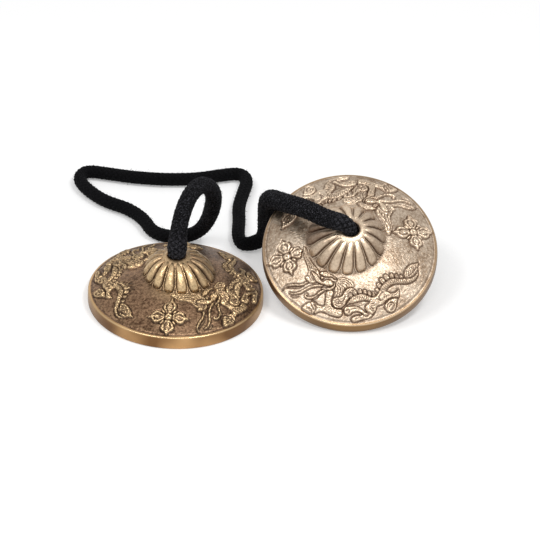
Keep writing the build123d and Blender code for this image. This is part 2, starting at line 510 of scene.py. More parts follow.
    def head(self) -> List[Mark]:
        """The head with its open jaws, its horn and its long whiskers.

        Returns:
            Its forms.
        """
        whiskers = [
            band(
                0.80, (-24.5, -18.6), (-23.5, -17.6), (-22.2, -17.2), (-20.2, -17.3), (-18.4, -17.6),
                (-16.8, -17.4), (-15.6, -16.9), taper=(0.35, 1.0),
            ),
            band(
                0.40, (-22.6, -18.0), (-20.8, -18.2), (-18.8, -18.4), (-17.0, -18.1), lift=0.16,
                taper=(0.4, 0.4),
            ),
            band(
                0.95, (-21.9, -19.9), (-20.9, -20.4), (-19.2, -20.5), (-17.4, -20.1), (-15.6, -19.2),
                (-13.9, -18.6), (-12.1, -18.4), (-10.0, -18.5), taper=(0.5, 1.0),
            ),
            band(0.40, (-21.4, -21.1), (-20.4, -21.6), (-18.8, -21.7), lift=0.16, taper=(0.4, 0.4)),
            band(
                0.95, (-7.4, -19.7), (-9.6, -20.3), (-11.0, -21.2), (-12.3, -22.2), (-13.9, -22.6),
                (-15.3, -22.4), (-16.1, -21.7), (-15.9, -21.1), (-15.3, -21.3), taper=(1.0, 0.6),
            ),
            band(0.50, (-11.2, -21.9), (-12.4, -22.9), (-13.6, -23.2), lift=0.16, taper=(0.4, 0.4)),
        ]
        jaw = band(
            0.95, (-10.0, -19.5), (-8.5, -19.8), (-7.1, -19.8), (-6.0, -19.4), (-5.2, -18.4), (-5.1, -17.2),
            lift=0.46, taper=(0.6, 0.5),
        )
        snout = pad(
            0.64, (-13.9, -13.2), (-13.0, -12.9), (-12.0, -13.4), (-11.2, -14.3), (-10.7, -15.4),
            (-10.3, -16.5), (-9.9, -17.0), (-9.2, -16.8), (-8.3, -16.3), (-7.2, -16.1), (-6.1, -16.3),
            (-5.5, -17.1), (-5.4, -18.1), (-6.2, -18.8), (-7.6, -18.9), (-8.8, -18.6), (-9.9, -18.2),
            (-11.1, -17.6), (-12.3, -16.8), (-13.1, -15.6), (-13.6, -14.4),
        )
        folds = [
            cut(0.22, (-5.9, -17.0), (-6.2, -17.5), depth=0.6),
            cut(0.22, (-9.4, -19.7), (-8.0, -19.9), (-6.8, -19.7), depth=0.5),
            cut(0.20, (-12.6, -14.0), (-12.1, -15.2), (-11.4, -16.2), depth=0.4),
        ]
        return [*whiskers, jaw, snout, *folds]

    def scales(self) -> List[Mark]:
        """Chevrons of scales across the body and dots on the chest.

        Returns:
            Their forms.
        """
        found = []
        spines = (
            (
                (25.1, -11.0), (24.2, -12.7), (22.4, -13.9), (20.4, -14.5), (18.4, -14.9), (16.2, -15.3),
                (14.3, -16.6), (13.0, -18.2), (12.0, -20.0),
            ),
            (
                (-0.4, -25.1), (0.5, -23.7), (2.3, -22.8), (4.5, -22.5), (6.6, -22.6), (8.3, -23.4),
                (9.0, -25.2), (8.4, -26.8),
            ),
        )
        for spine in spines:
            for (x, y), (dx, dy) in self.steps(spine, self.scale_pitch):
                half, tip = self.scale_half, (x + self.scale_tip * dx, y + self.scale_tip * dy)
                sides = (x - half * dy, y + half * dx), (x + half * dy, y - half * dx)
                found.append(cut(0.23, sides[0], tip, sides[1], depth=0.85))
        rows = (
            ((-7.0, -20.9), (-7.4, -23.0), (-7.7, -25.2), (-7.4, -26.8), (-5.4, -27.9), (-3.4, -28.6)),
            ((-7.9, -21.6), (-8.1, -24.0), (-8.3, -25.9), (-8.6, -27.0), (-6.8, -28.2)),
            ((-6.9, -22.4), (-7.0, -24.6), (-6.6, -26.4), (-4.6, -27.4), (-3.0, -27.6)),
            ((-9.4, -26.3), (-10.9, -26.1), (-12.0, -26.6)),
            ((12.2, -22.9), (13.4, -21.6), (15.0, -20.7), (16.2, -20.3)),
            ((12.7, -21.8), (13.9, -20.7), (15.2, -20.1)), ((1.2, -26.8), (2.6, -26.2), (4.0, -26.6)),
            ((5.0, -29.3), (6.8, -29.0), (8.2, -27.9)),
        )
        for row in rows:
            for (x, y), _ in self.steps(row, self.dot_pitch):
                found.append(cut(0.30, (x - 0.02, y), (x + 0.02, y), depth=0.8))
        return found

    @staticmethod
    def steps(points: Sequence[Point2], pitch: float) -> List[Tuple[Point2, Point2]]:
        """Walks along a line through the points.

        Args:
            points: the points in mm.
            pitch: the step in mm.

        Returns:
            Each step's place and its direction of length 1.
        """
        line = smooth_line(points, False)
        run = np.concatenate([[0], np.cumsum(np.hypot(*np.diff(line, axis=0).T))])
        found = []
        for at in np.arange(pitch / 2, run[-1], pitch):
            here, there = (
                np.array([np.interp(spot, run, line[:, axis]) for axis in (0, 1)]) for spot in (at, at + 0.05)
            )
            ahead = (there - here) / max(1e-6, float(np.hypot(*(there - here))))
            found.append((tuple(here), tuple(ahead)))
        return found

    def marks(self) -> List[Mark]:
        """All of the dragon's forms, the ones underneath first.

        Returns:
            The forms, each moved by the pushes.
        """
        found = [
            *self.mane(), *self.chest(), *self.tail_leaf(), *self.spines(), *self.trunk(), *self.head(),
            *self.scales(),
        ]
        for push in self.pushes:
            found = [push.moved(mark) for mark in found]
        return found


@dataclass
class DoubleVajra:
    """The cast crossed thunderbolt between the dragons: four arms round a square boss."""

    centre: Point2 = (-23.2, -6.1)
    turn_deg: float = 15.0
    arms: int = 4
    lift: float = 0.46

    def arm(self) -> List[Mark]:
        """One arm along +x: a lobed head with two long slots, and a small petal beside its root.

        Returns:
            Its forms.
        """
        return [
            pad(0.36, (1.2, 1.3), (1.9, 1.1), (2.8, 1.7), (3.1, 2.6), (2.4, 2.9), (1.4, 2.3)),
            pad(
                self.lift, (0.9, 0.0), (1.3, 1.0), (2.3, 1.5), (3.3, 2.3), (4.7, 2.5), (5.7, 1.9), (6.2, 0.9),
                (7.7, 0.0), (6.2, -0.9), (5.7, -1.9), (4.7, -2.5), (3.3, -2.3), (2.3, -1.5), (1.3, -1.0),
            ),
            cut(0.42, (2.4, 0.55), (3.4, 1.05), (4.5, 1.15), (5.3, 0.6)),
            cut(0.42, (2.4, -0.55), (3.4, -1.05), (4.5, -1.15), (5.3, -0.6)),
        ]

    def marks(self) -> List[Mark]:
        """All arms and the middle boss.

        Returns:
            Their forms.
        """
        found = []
        for turn in range(self.arms):
            angle = math.radians(self.turn_deg) + turn * math.tau / self.arms
            found += [mark.turned(angle, self.centre) for mark in self.arm()]
        square = pad(0.6, (1.1, 1.1), (-1.1, 1.1), (-1.1, -1.1), (1.1, -1.1))
        pin = cut(0.5, (-0.03, 0.0), (0.03, 0.0))
        return found + [mark.turned(math.radians(self.turn_deg), self.centre) for mark in (square, pin)]


@dataclass
class Relief:
    """The ornament as heights over the plate, with how deep and how proud each spot lies."""

    strength: float = 1.35
    outline_width: float = 0.22
    outline_depth: float = 0.26
    outline_inset: float = 0.06
    groove_spread: float = 0.62
    shoulder: float = 0.82
    cover_run: float = 0.12
    taper_run: float = 0.35
    unevenness: float = 0.08
    ground_unevenness: float = 0.25
    unevenness_seed: int = 11
    unevenness_passes: int = 2
    unevenness_fade: float = 0.6
    raised_height: float = 0.3
    raised_passes: int = 6
    border_radius: float = 31.15
    border_width: float = 0.26
    border_depth: float = 0.14
    border_dirt: float = 0.45
    border_fade: Point2 = (0.4, -0.1)
    blur_passes: int = 26
    crest_scale: float = 0.34
    crest_proud: float = 0.85
    crest_high: float = 0.30
    crest_height: float = 0.45
    shade_round_relief: float = 0.55
    dragons: Tuple[Dragon, Dragon] = (Dragon(), Dragon())

    def stamp(self, x: np.ndarray, y: np.ndarray, mark: Mark, height: np.ndarray, recess: np.ndarray) -> None:
        """Models one mark over what is there.

        Args:
            x: x of every spot, in mm.
            y: y of every spot, in mm.
            mark: the form to add.
            height: heights in mm, changed in place.
            recess: darkness of the recesses from 0 to 1, changed in place.
        """
        line = smooth_line(mark.points, mark.form is Form.PAD)
        reach = mark.width / 2 + 3 * self.outline_width
        near = (x > line[:, 0].min() - reach) & (x < line[:, 0].max() + reach)
        near &= (y > line[:, 1].min() - reach) & (y < line[:, 1].max() + reach)
        if not near.any():
            return
        gap, share = line_distance(x[near], y[near], line)
        old, dark = height[near], recess[near]
        if mark.form is Form.CUT:
            groove = mark.lift * np.exp(-((gap / (self.groove_spread * mark.width)) ** 2))
            height[near] = old - self.outline_depth * groove
            recess[near] = np.maximum(dark, groove)
            return
        if mark.form is Form.PAD:
            depth = np.where(inside_line(x[near], y[near], line), gap, -gap)
            rise = np.clip(depth / self.shoulder, 0, 1)
        else:
            start, end = mark.taper
            swell = np.interp(share, [0, self.taper_run, 1 - self.taper_run, 1], [start, 1, 1, end])
            half = swell * mark.width / 2
            depth = half - gap
            rise = np.clip(depth / half, 0, 1)
        dome = np.sqrt(1 - (1 - rise) ** 2)
        edge = mark.edge * np.exp(-(((depth + self.outline_inset) / self.outline_width) ** 2))
        cover = np.clip(depth / self.cover_run, 0, 1)
        height[near] = old * (1 - cover) + mark.lift * dome * cover - self.outline_depth * edge
        recess[near] = np.maximum(dark * (1 - cover), edge)

    def model(self, x: np.ndarray, y: np.ndarray) -> Tuple[np.ndarray, np.ndarray, np.ndarray]:
        """Models both dragons, both double vajras and the border line on a polar grid.

        Args:
            x: x of half the grid, one row per radius, in mm.
            y: y of half the grid, in mm.

        Returns:
            Height in mm, recess and crest from 0 to 1, for the whole turn.
        """
        x, y = np.hstack([x, -x]), np.hstack([y, -y])
        height, recess = np.zeros(x.shape), np.zeros(x.shape)
        for dragon, angle in zip(self.dragons, (0.0, math.pi)):
            for mark in DoubleVajra().marks() + dragon.marks():
                self.stamp(x, y, mark.turned(angle) if angle else mark, height, recess)
        radius = np.hypot(x, y)
        border = np.exp(-(((radius - self.border_radius) / self.border_width) ** 2))
        height *= ramp(radius, *(self.border_radius + past for past in self.border_fade))
        height = self.strength * (height - self.border_depth * border)
        recess = np.maximum(recess, self.border_dirt * border)
        rough = np.random.default_rng(self.unevenness_seed).normal(size=height.shape)
        rough = self.blurred(rough, self.unevenness_passes)
        rough *= self.unevenness / rough.std()
        rough *= ramp(radius, self.border_radius, self.border_radius - self.unevenness_fade)
        raised = self.blurred(np.abs(height), self.raised_passes) / self.raised_height
        height += rough * np.clip(raised, self.ground_unevenness, 1)
        proud = (height - self.blurred(height, self.blur_passes)) / self.crest_scale
        # Painted shade on the ground round the relief, where it lies below its surroundings.
        recess = np.maximum(recess, self.shade_round_relief * np.clip(-proud, 0, 1))
        # Crest: wiped wear on the proud relief, with a painted highlight on its ridges and high spots.
        high = np.clip(height / (self.crest_height * self.strength), 0, 1)
        return height, recess, np.clip(self.crest_proud * proud + self.crest_high * high, 0, 1)

    @staticmethod
    def blurred(values: np.ndarray, passes: int) -> np.ndarray:
        """Smooths a polar grid.

        Args:
            values: the grid, one row per radius.
            passes: how often each spot is averaged with its neighbours.

        Returns:
            The smoothed grid.
        """
        for _ in range(passes):
            inner = np.vstack([values[:1], values[:-1]])
            outer = np.vstack([values[1:], values[-1:]])
            values = 0.2 * (values + np.roll(values, 1, 1) + np.roll(values, -1, 1) + inner + outer)
        return values


# Finishes


@dataclass(frozen=True)
class CastBronze:
    """Cast bell bronze, chemically darkened and then wiped back.

    The wiping leaves the proud ornament golden, the recesses keep their brown-black, and the ground between
    stays a mottled brown that shows the sand of the mould. The crest and recess tags it reads also carry
    painted highlights and painted shade in places, drawn in the crest and patina colours.
    """

    name: str
    ground: str
    ground_worn: str
    patina: str
    crest: str
    polished: str
    polished_warm: str
    roughness: float = 0.36
    dirt_roughness: float = 0.34
    proud_roughness: float = -0.12
    polish_roughness: float = -0.06
    mottle_mm: float = 9.0
    streak_mm: float = 24.0
    streak_span: Point2 = (0.40, 0.60)
    cloud_mm: float = 1.0
    cloud_share: float = 0.62
    patch_span: Point2 = (0.41, 0.59)
    wiped_span: Point2 = (0.38, 0.60)
    grain_mm: float = 0.45
    grain_depth: float = 0.10
    speck_span: Point2 = (0.49, 0.70)
    speck_share: float = 0.62
    recess_share: float = 0.78
    recess_metal: float = 0.55
    crest_share: float = 0.9
    wiped_shares: Point2 = (0.55, 1.15)
    polish_grain: float = 0.15
    # Crest and recess of the lobes at their foot and at their top: wear and dirt, with painted light and
    # painted shade graded between.
    lobe_wear_and_light: Point2 = (0.5, 0.5)
    lobe_dirt_and_shade: Point2 = (0.0, 0.0)

    def material(self) -> bpy.types.Material:
        """Builds the finish.

        Returns:
            The material.
        """
        made, tree = new_material(self.name)
        place = node(tree, "ShaderNodeTexCoord", out="Object")
        recess, crest, polish = (
            node(tree, "ShaderNodeAttribute", out="Fac", attribute_name=tag) for tag in TAGS
        )
        noises = []
        for size, detail, rough in (
            (self.mottle_mm, 5.0, 0.62), (self.grain_mm, 3.0, 0.7),
            (self.cloud_mm, 4.0, 0.7), (self.streak_mm, 2.0, 0.5),
        ):
            feeds = {"Vector": place, "Scale": 1 / (size * MM), "Detail": detail, "Roughness": rough}
            noises.append(node(tree, NOISE, feeds))
        mottle, grain, cloud, wide = noises
        least, most = (share * self.crest_share for share in self.wiped_shares)
        blend = node(tree, MIX, {0: self.cloud_share, 2: mottle, 3: cloud}, data_type="FLOAT")
        cast = node(tree, MATH, {0: polish, 1: self.polish_grain - 1, 2: 1.0}, operation="MULTIPLY_ADD")
        sand = node(tree, MATH, {0: grain, 1: cast}, operation="MULTIPLY")
        levels = []
        for noise, (start, end), low, high in (
            (wide, self.streak_span, 0.0, 1.0), (blend, self.patch_span, 0.0, 1.0),
            (blend, self.wiped_span, least, most), (sand, self.speck_span, 0.0, self.speck_share),
        ):
            feeds = {"Value": noise, "From Min": start, "From Max": end, "To Min": low, "To Max": high}
            levels.append(node(tree, RANGE, feeds))
        streak, patch, wiped, speck = levels
        proud, even, deep = (
            node(tree, MATH, {0: tag, 1: share}, operation="MULTIPLY", use_clamp=True)
            for tag, share in ((crest, wiped), (crest, self.crest_share), (recess, self.recess_share))
        )
        # recess patina and sand specks, with the painted shade that the recess tag carries in places
        dirt = node(tree, MATH, {0: deep, 1: speck}, operation="MAXIMUM", use_clamp=True)
        colours = {
            "ground": linear(self.ground), "worn": linear(self.ground_worn), "patina": linear(self.patina),
            "crest": linear(self.crest), "turned": linear(self.polished), "warm": linear(self.polished_warm),
        }
        for name, share, under, over in (
            ("ground", patch, "ground", "worn"), ("raised", proud, "ground", "crest"),
            ("turned", streak, "turned", "warm"), ("edged", even, "turned", "crest"),
            ("shiny", polish, "raised", "edged"), ("final", dirt, "shiny", "patina"),
        ):
            feeds = {0: share, 6: colours[under], 7: colours[over]}
            colours[name] = node(tree, MIX, feeds, out=2, data_type="RGBA")
        rough = self.roughness
        for cause, share in (
            (dirt, self.dirt_roughness), (proud, self.proud_roughness), (polish, self.polish_roughness)
        ):
            rough = node(tree, MATH, {0: cause, 1: share, 2: rough}, operation="MULTIPLY_ADD")
        metal = node(tree, RANGE, {"Value": deep, "To Min": 1.0, "To Max": self.recess_metal})
        feeds = {"Height": sand, "Distance": self.grain_depth * MM, "Strength": 0.6}
        bump = node(tree, "ShaderNodeBump", feeds)
        feeds = {"Base Color": colours["final"], "Roughness": rough, "Metallic": metal, "Normal": bump}
        shader = node(tree, "ShaderNodeBsdfPrincipled", feeds)
        node(tree, "ShaderNodeOutputMaterial", {"Surface": shader})
        return made


@dataclass(frozen=True)
class BlackBraid:
    """Soft spun black yarn, plaited round: matt, with greyer fibre ends that catch the light.

    The grey flecks thin out where the cord lies low on the table, and by the bores the plait's crests carry a
    painted glint.
    """

    name: str = "black_braided_yarn"
    yarn: str = "#020203"
    fibre: str = "#6A6970"
    sheen_tint: str = "#8A8C99"
    fibre_mm: float = 0.42
    fibre_depth: float = 0.2
    roughness: float = 0.85
    sheen: float = 0.02
    specular: float = 0.1
    painted_glint: float = 0.42
    painted_glint_start: float = 0.66
    fleck_span: Point2 = (0.53, 0.74)
    low_fleck_share: float = 0.12
    nap_span: Point2 = (6.0, 16.0)

    def material(self) -> bpy.types.Material:
        """Builds the finish.

        Returns:
            The material.
        """
        made, tree = new_material(self.name)
        place = node(tree, "ShaderNodeTexCoord", out="Object")
        feeds = {"Vector": place, "Scale": 1 / (self.fibre_mm * MM), "Detail": 4.0, "Roughness": 0.75}
        fleck = node(tree, NOISE, feeds)
        height = node(tree, "ShaderNodeSeparateXYZ", {"Vector": place}, out="Z")
        low, high = (level * MM for level in self.nap_span)
        # Fewer grey flecks low down, where the cord lies on the table.
        nap = node(tree, RANGE, {"Value": height, "From Min": low, "From Max": high, "To Min": self.low_fleck_share})
        low, high = self.fleck_span
        nappy = node(tree, RANGE, {"Value": fleck, "From Min": low, "From Max": high, "To Max": nap})
        crest = node(tree, "ShaderNodeAttribute", out="Fac", attribute_name="neat_crest")
        # Painted glint on the plait's crests near the bores.
        painted_glint = node(tree, RANGE, {"Value": crest, "From Min": self.painted_glint_start, "To Max": self.painted_glint})
        share = node(tree, MATH, {0: nappy, 1: painted_glint}, operation="MAXIMUM")
        feeds = {0: share, 6: linear(self.yarn), 7: linear(self.fibre)}
        colour = node(tree, MIX, feeds, out=2, data_type="RGBA")
        feeds = {"Height": fleck, "Distance": self.fibre_depth * MM, "Strength": 0.6}
        bump = node(tree, "ShaderNodeBump", feeds)
        feeds = {
            "Base Color": colour, "Roughness": self.roughness, "Sheen Weight": self.sheen,
            "Sheen Roughness": 0.5, "Sheen Tint": linear(self.sheen_tint),
            "Specular IOR Level": self.specular, "Normal": bump,
        }
        shader = node(tree, "ShaderNodeBsdfPrincipled", feeds)
        node(tree, "ShaderNodeOutputMaterial", {"Surface": shader})
        return made


# Meshes


def mesh_object(
    name: str, points: np.ndarray, faces: Faces, attributes: Optional[Dict[str, np.ndarray]] = None
) -> bpy.types.Object:
    """Makes a smooth-shaded mesh object at the origin from points in metres.

    Args:
        name: the piece's name.
        points: one point per row.
        faces: the faces' point numbers.
        attributes: one value per point for each named attribute.

    Returns:
        The object, linked to the scene.
    """
    mesh = bpy.data.meshes.new(name)
    mesh.from_pydata(points.tolist(), [], faces)
    for key, values in (attributes or {}).items():
        layer = mesh.attributes.new(key, "FLOAT", "POINT")
        layer.data.foreach_set("value", np.asarray(values, dtype=np.float32))
    mesh.shade_smooth()
    mesh.update()
    made = bpy.data.objects.new(name, mesh)
    bpy.context.scene.collection.objects.link(made)
    return made


def mesh_points(mesh: bpy.types.Mesh) -> np.ndarray:
    """Reads a mesh's points.

    Args:
        mesh: the mesh.

    Returns:
        The points, one per row.
    """
    points = np.empty(len(mesh.vertices) * 3)
    mesh.vertices.foreach_get("co", points)
    return points.reshape(-1, 3)


def evaluated_mesh(made: bpy.types.Object) -> bpy.types.Mesh:
    """The mesh that an object's curve or modifiers come to."""
    return bpy.data.meshes.new_from_object(made.evaluated_get(bpy.context.evaluated_depsgraph_get()))


def run_tree(
    made: bpy.types.Object, tree: bpy.types.GeometryNodeTree, values: Dict[str, object]
) -> bpy.types.Object:
    """Runs a Geometry Nodes tree on an object and keeps the result as its plain mesh.

    Args:
        made: the object.
        tree: the tree.
        values: each named input's value.

    Returns:
        The object with its new mesh.
    """
    modifier = made.modifiers.new(tree.name, "NODES")
    modifier.node_group = tree
    sockets = {item.name: item.identifier for item in tree.interface.items_tree if item.in_out == "INPUT"}
    for name, value in values.items():
        modifier[sockets[name]] = value
    mesh = evaluated_mesh(made)
    mesh.name = made.name
    made.modifiers.clear()
    made.data = mesh
    return made


def new_tree(name: str, **inputs: str) -> Tuple[bpy.types.GeometryNodeTree, bpy.types.bpy_prop_collection]:
    """Starts a Geometry Nodes tree with its named inputs.

    Args:
        name: the tree's name.
        inputs: the kind of each input after the geometry.

    Returns:
        The tree and its inputs' sockets by name.
    """
    tree = bpy.data.node_groups.new(name, "GeometryNodeTree")
    tree.interface.new_socket("Geometry", in_out="INPUT", socket_type="NodeSocketGeometry")
    tree.interface.new_socket("Geometry", in_out="OUTPUT", socket_type="NodeSocketGeometry")
    for label, kind in inputs.items():
        tree.interface.new_socket(label, in_out="INPUT", socket_type=f"NodeSocket{kind}")
    return tree, node(tree, "NodeGroupInput").node.outputs


def finish_tree(
    tree: bpy.types.GeometryNodeTree, shapes: bpy.types.NodeSocket, finish: bpy.types.NodeSocket
) -> None:
    """Ends a tree in Realize Instances and Set Material.

    Args:
        tree: the tree.
        shapes: the instances.
        finish: the material input.
    """
    real = node(tree, "GeometryNodeRealizeInstances", {"Geometry": shapes})
    dressed = node(tree, "GeometryNodeSetMaterial", {"Geometry": real, "Material": finish})
    node(tree, "NodeGroupOutput", {"Geometry": dressed})


def tube(rings: np.ndarray, points: List[np.ndarray], faces: Faces) -> None:
    """Adds a closed tube through rings of points.

    Args:
        rings: ring by ring, the points round each.
        points: the mesh's points so far, added to.
        faces: the mesh's faces so far, added to.
    """
    first = sum(len(block) for block in points)
    count, around = rings.shape[:2]
    points.append(rings.reshape(-1, 3))
    for i in range(count - 1):
        a, b = first + i * around, first + (i + 1) * around
        faces += [(a + j, a + (j + 1) % around, b + (j + 1) % around, b + j) for j in range(around)]
    faces.append(tuple(first + j for j in reversed(range(around))))
    faces.append(tuple(first + (count - 1) * around + j for j in range(around)))


def face_outward(made: bpy.types.Object) -> bpy.types.Object:
    """Turns a closed mesh's faces outward if its volume comes out negative.

    Args:
        made: the object.

    Returns:
        The same object.
    """
    mesh = made.data
    mesh.calc_loop_triangles()
    corners = np.empty(len(mesh.loop_triangles) * 3, dtype=np.int32)
    mesh.loop_triangles.foreach_get("vertices", corners)
    a, b, c = mesh_points(mesh)[corners.reshape(-1, 3)].transpose(1, 0, 2)
    if np.einsum("ij,ij->i", a, np.cross(b, c)).sum() < 0:
        mesh.flip_normals()
    return made


# Cymbals


@dataclass
class Cymbal:
    """One cymbal: a turned bell-bronze casting with its relief, and sixteen lobes round its boss, in mm."""

    name: str
    slot: str
    centre: Point3
    lean_deg: float
    pattern_deg: float
    finish: CastBronze
    relief: Relief = field(default_factory=Relief)
    rim_radius: float = 32.5
    rim_height: float = 5.0
    rim_bulge: float = 0.04
    rim_start: float = 31.5
    rim_side_shade: float = 0.5
    rim_edge_highlight: float = 0.7
    edge_round: float = 0.6
    plate_top: float = 11.5
    plate_bow: float = 0.75
    boss_radius: float = 13.5
    boss_top: float = 20.1
    boss_shift: Point2 = (0.0, 0.0)
    boss_spread: float = 1.0
    boss_span: Point2 = (4.2, 13.0)
    boss_fade: Point2 = (20.0, 14.6)
    lip_radius: float = 3.6
    bore_radius: float = 3.0
    bore_lip: float = 0.6
    bore_bottom: float = 16.7
    cup_radius: float = 10.1
    cup_foot: float = 8.2
    cup_swell: Point2 = (0.6, 0.5)
    ring_inner: float = 27.5
    under_radius: float = 25.85
    under_height: float = 3.6
    under_dirt: float = 0.25
    under_polish: float = 0.35
    lobes: int = 16
    lobe_phase_deg: float = -87.0
    lobe_start: float = 4.9
    lobe_round: float = 12.1
    lobe_end: float = 13.9
    lobe_pillow: float = 0.98
    lobe_share: float = 0.166
    lobe_widest: float = 12.9
    lobe_sink: float = 0.12
    lobe_opening: float = 1.4
    lobe_rise: float = 4.5
    lobe_dark_span: Point2 = (5.5, 7.5)
    lobe_rows: int = 18
    nose_rows: int = 9
    lobe_section: int = 20
    dome: float = 5.6
    flute_depth: float = 0.72
    flute_start: float = 5.2
    flute_run: float = 2.6
    rib_start: float = 5.8
    rib_gap: float = 0.50
    rib_height: float = 0.42
    rib_share: float = 0.016
    rib_end_half: float = 0.21
    rib_dirt: float = 0.7
    rib_worn: float = 0.7
    rib_rows: int = 14
    rib_section: int = 8
    # The side the light comes from, by which the lobes, the plate at the boss's front foot and the rim's
    # sides are painted lighter or darker.
    light_side_deg: float = -95.0
    light_side_shares: Point2 = (0.10, 0.30)
    unlit_lobe_shade: float = 0.75
    wear_spread: float = 0.12
    wear_seed: int = 5
    wear_and_light_span: Point2 = (6.0, 12.0)
    foot_darkening: float = 0.5
    foot_span: Point2 = (15.0, 13.8)
    foot_highlight: float = 0.0
    foot_highlight_span: Point2 = (14.6, 19.0)
    around: int = 272
    dense: int = 3
    plate_rows: int = 92
    boss_rows: int = 22

    def placement(self) -> Matrix:
        """The matrix from the cymbal's own frame in mm to the part's frame in metres."""
        lean = Matrix.Rotation(math.radians(self.lean_deg), 4, "X")
        return Matrix.Translation(Vector(self.centre) * MM) @ lean @ Matrix.Scale(MM, 4)

    def plate_slope(self) -> float:
        """How much the plate rises per mm outward, which is negative."""
        return (self.rim_height - self.plate_top) / (self.rim_radius - self.boss_radius)

    def shift_boss(self, points: np.ndarray) -> np.ndarray:
        """Moves the boss's foot off centre, as on the hand-finished casting, and leaves the hole in place.

        Args:
            points: points in the cymbal's own frame in mm, changed in place.

        Returns:
            The same points.
        """
        radius = np.hypot(points[:, 0], points[:, 1])
        share = ramp(radius, *self.boss_span) * ramp(radius, *self.boss_fade)
        share *= points[:, 2] > self.plate_top - 4
        points[:, :2] += share[:, None] * (np.array(self.boss_shift) + (self.boss_spread - 1) * points[:, :2])
        points[:, 2] += self.plate_slope() * (np.hypot(points[:, 0], points[:, 1]) - radius)
        return points

    def boss_height(self, radius: np.ndarray) -> np.ndarray:
        """Height of the boss's crown line at a radius.

        Args:
            radius: distance from the axis in mm.

        Returns:
            Height over the striking face in mm.
        """
        run = ramp(radius, self.boss_radius, self.lip_radius)
        outside = np.maximum(radius - self.boss_radius, 0) * self.plate_slope()
        rise = (self.boss_top - self.plate_top) * run + self.dome * run**0.6 * (1 - run) ** 0.95
        return self.plate_top + rise + outside

    def flute(self, radius: np.ndarray) -> np.ndarray:
        """Depth of the ground between the lobes under the crown line.

        Args:
            radius: distance from the axis in mm.

        Returns:
            Depth in mm.
        """
        run = ramp(radius, self.flute_start, self.flute_start + self.flute_run)
        foot = ramp(radius, self.boss_radius + 0.1, self.boss_radius - 0.9)
        return self.flute_depth * run * run * (3 - 2 * run) * foot

    def seat(self, radius: np.ndarray, across: np.ndarray, up: np.ndarray) -> np.ndarray:
        """Finds spots over the boss for the lobe that points along x.

        Args:
            radius: distance from the axis along the lobe's middle, in mm.
            across: distance to the side of the middle, in mm.
            up: distance from the crown line, square to it, in mm.

        Returns:
            The spots, one per row.
        """
        reach = np.hypot(radius, across)
        lean = np.arctan2(self.boss_height(reach - 0.1) - self.boss_height(reach + 0.1), 0.2)
        out = 1 + up * np.sin(lean) / reach
        return np.stack([radius * out, across * out, self.boss_height(reach) + up * np.cos(lean)], -1)

    def turned_section(self) -> List[Point2]:
        """Draws the plain turned part of the section.

        Returns:
            Radius and height of each point, from the rim's top edge round underneath to the lip.
        """
        outer, bulge, inset = self.rim_radius, self.rim_bulge, self.rim_radius - self.edge_round
        points = arc((inset, self.rim_height - self.edge_round), self.edge_round, np.linspace(90, 0, 5)[1:])
        points += [(outer + bulge, 3.4), (outer + bulge + 0.01, 2.5), (outer + bulge, 1.5)]
        points += arc((inset, self.edge_round), self.edge_round, np.linspace(0, -90, 5))
        points += [(30.4, 0.0), (28.9, 0.0), (self.ring_inner, 0.0), (27.1, 0.25), (26.4, 2.4), (26.0, 3.35)]
        under = np.array((self.under_radius, self.under_height))
        cup = np.array((self.cup_radius, self.cup_foot))
        bore = np.array((self.bore_radius, self.bore_bottom))
        points += [tuple(under + share * (cup - under)) for share in np.linspace(0, 1, 9)]
        for share in np.linspace(0, 1, 8)[1:]:
            swell = 3.6 * share * (1 - share) * np.array(self.cup_swell)
            points.append(tuple(cup + share * (bore - cup) + swell))
        lip = self.boss_top - self.bore_lip
        points += [(self.bore_radius, 18.0), (self.bore_radius, lip)]
        return points + arc((self.lip_radius, lip), self.bore_lip, (150, 120, 90))

    def ring(self, radius: float, height: float, recess: float, crest: float, polish: float) -> Row:
        """One plain ring of points with its tags.

        Args:
            radius: its radius in mm.
            height: its height in mm.
            recess: how dark with dirt it is, from 0 to 1.
            crest: how brightly it is wiped, from 0 to 1.
            polish: how smoothly it is turned, from 0 to 1.

        Returns:
            The points and their tags, one per row.
        """
        turns = whole_turn(self.around)
        points = np.stack([radius * np.cos(turns), radius * np.sin(turns), np.full(self.around, height)], 1)
        return points, np.tile((recess, crest, polish), (self.around, 1))

    def over_boss(self) -> List[Row]:
        """Makes the rings over the boss, which lie sunk between the lobes.

        Returns:
            The rings from the lip to the foot.
        """
        rows = []
        for radius in np.linspace(self.lip_radius, self.boss_radius - 0.4, self.boss_rows)[1:]:
            sink = self.flute(radius)
            # Darker the deeper the ground sinks between the lobes; the lobes' painted shade at their top also
            # lies here.
            dirt = max(0.8 * sink / self.flute_depth, self.finish.lobe_dirt_and_shade[1])
            # Painted highlight in a bright collar round the hole.
            worn = self.finish.lobe_wear_and_light[1] * ramp(radius, 8.0, 5.0)
            rows.append(self.ring(radius, self.boss_height(radius) - sink, dirt, worn, 0.0))
        return rows

    def over_plate(self) -> List[Row]:
        """Makes the rings over the plate, which carry the relief.

        Returns:
            The rings from the boss's foot to the rim.
        """
        turns = whole_turn(self.around * self.dense)
        first, last = self.boss_radius, self.rim_radius - self.edge_round
        radii = np.linspace(first, last, self.plate_rows)
        half = turns[: len(turns) // 2]
        reliefs = self.relief.model(radii[:, None] * np.cos(half), radii[:, None] * np.sin(half))
        slope = (self.rim_height - self.plate_top) / (last - first)
        lit_side = np.clip(np.cos(turns + math.radians(self.pattern_deg - self.light_side_deg)), 0, 1) ** 3
        rows = []
        for radius, height, recess, crest in zip(radii, *reliefs):
            lift = height / math.hypot(1, slope)
            run = (radius - first) / (last - first)
            level = self.plate_top + slope * (radius - first) + self.plate_bow * math.sin(math.pi * run**0.62)
            spread = radius - slope * lift
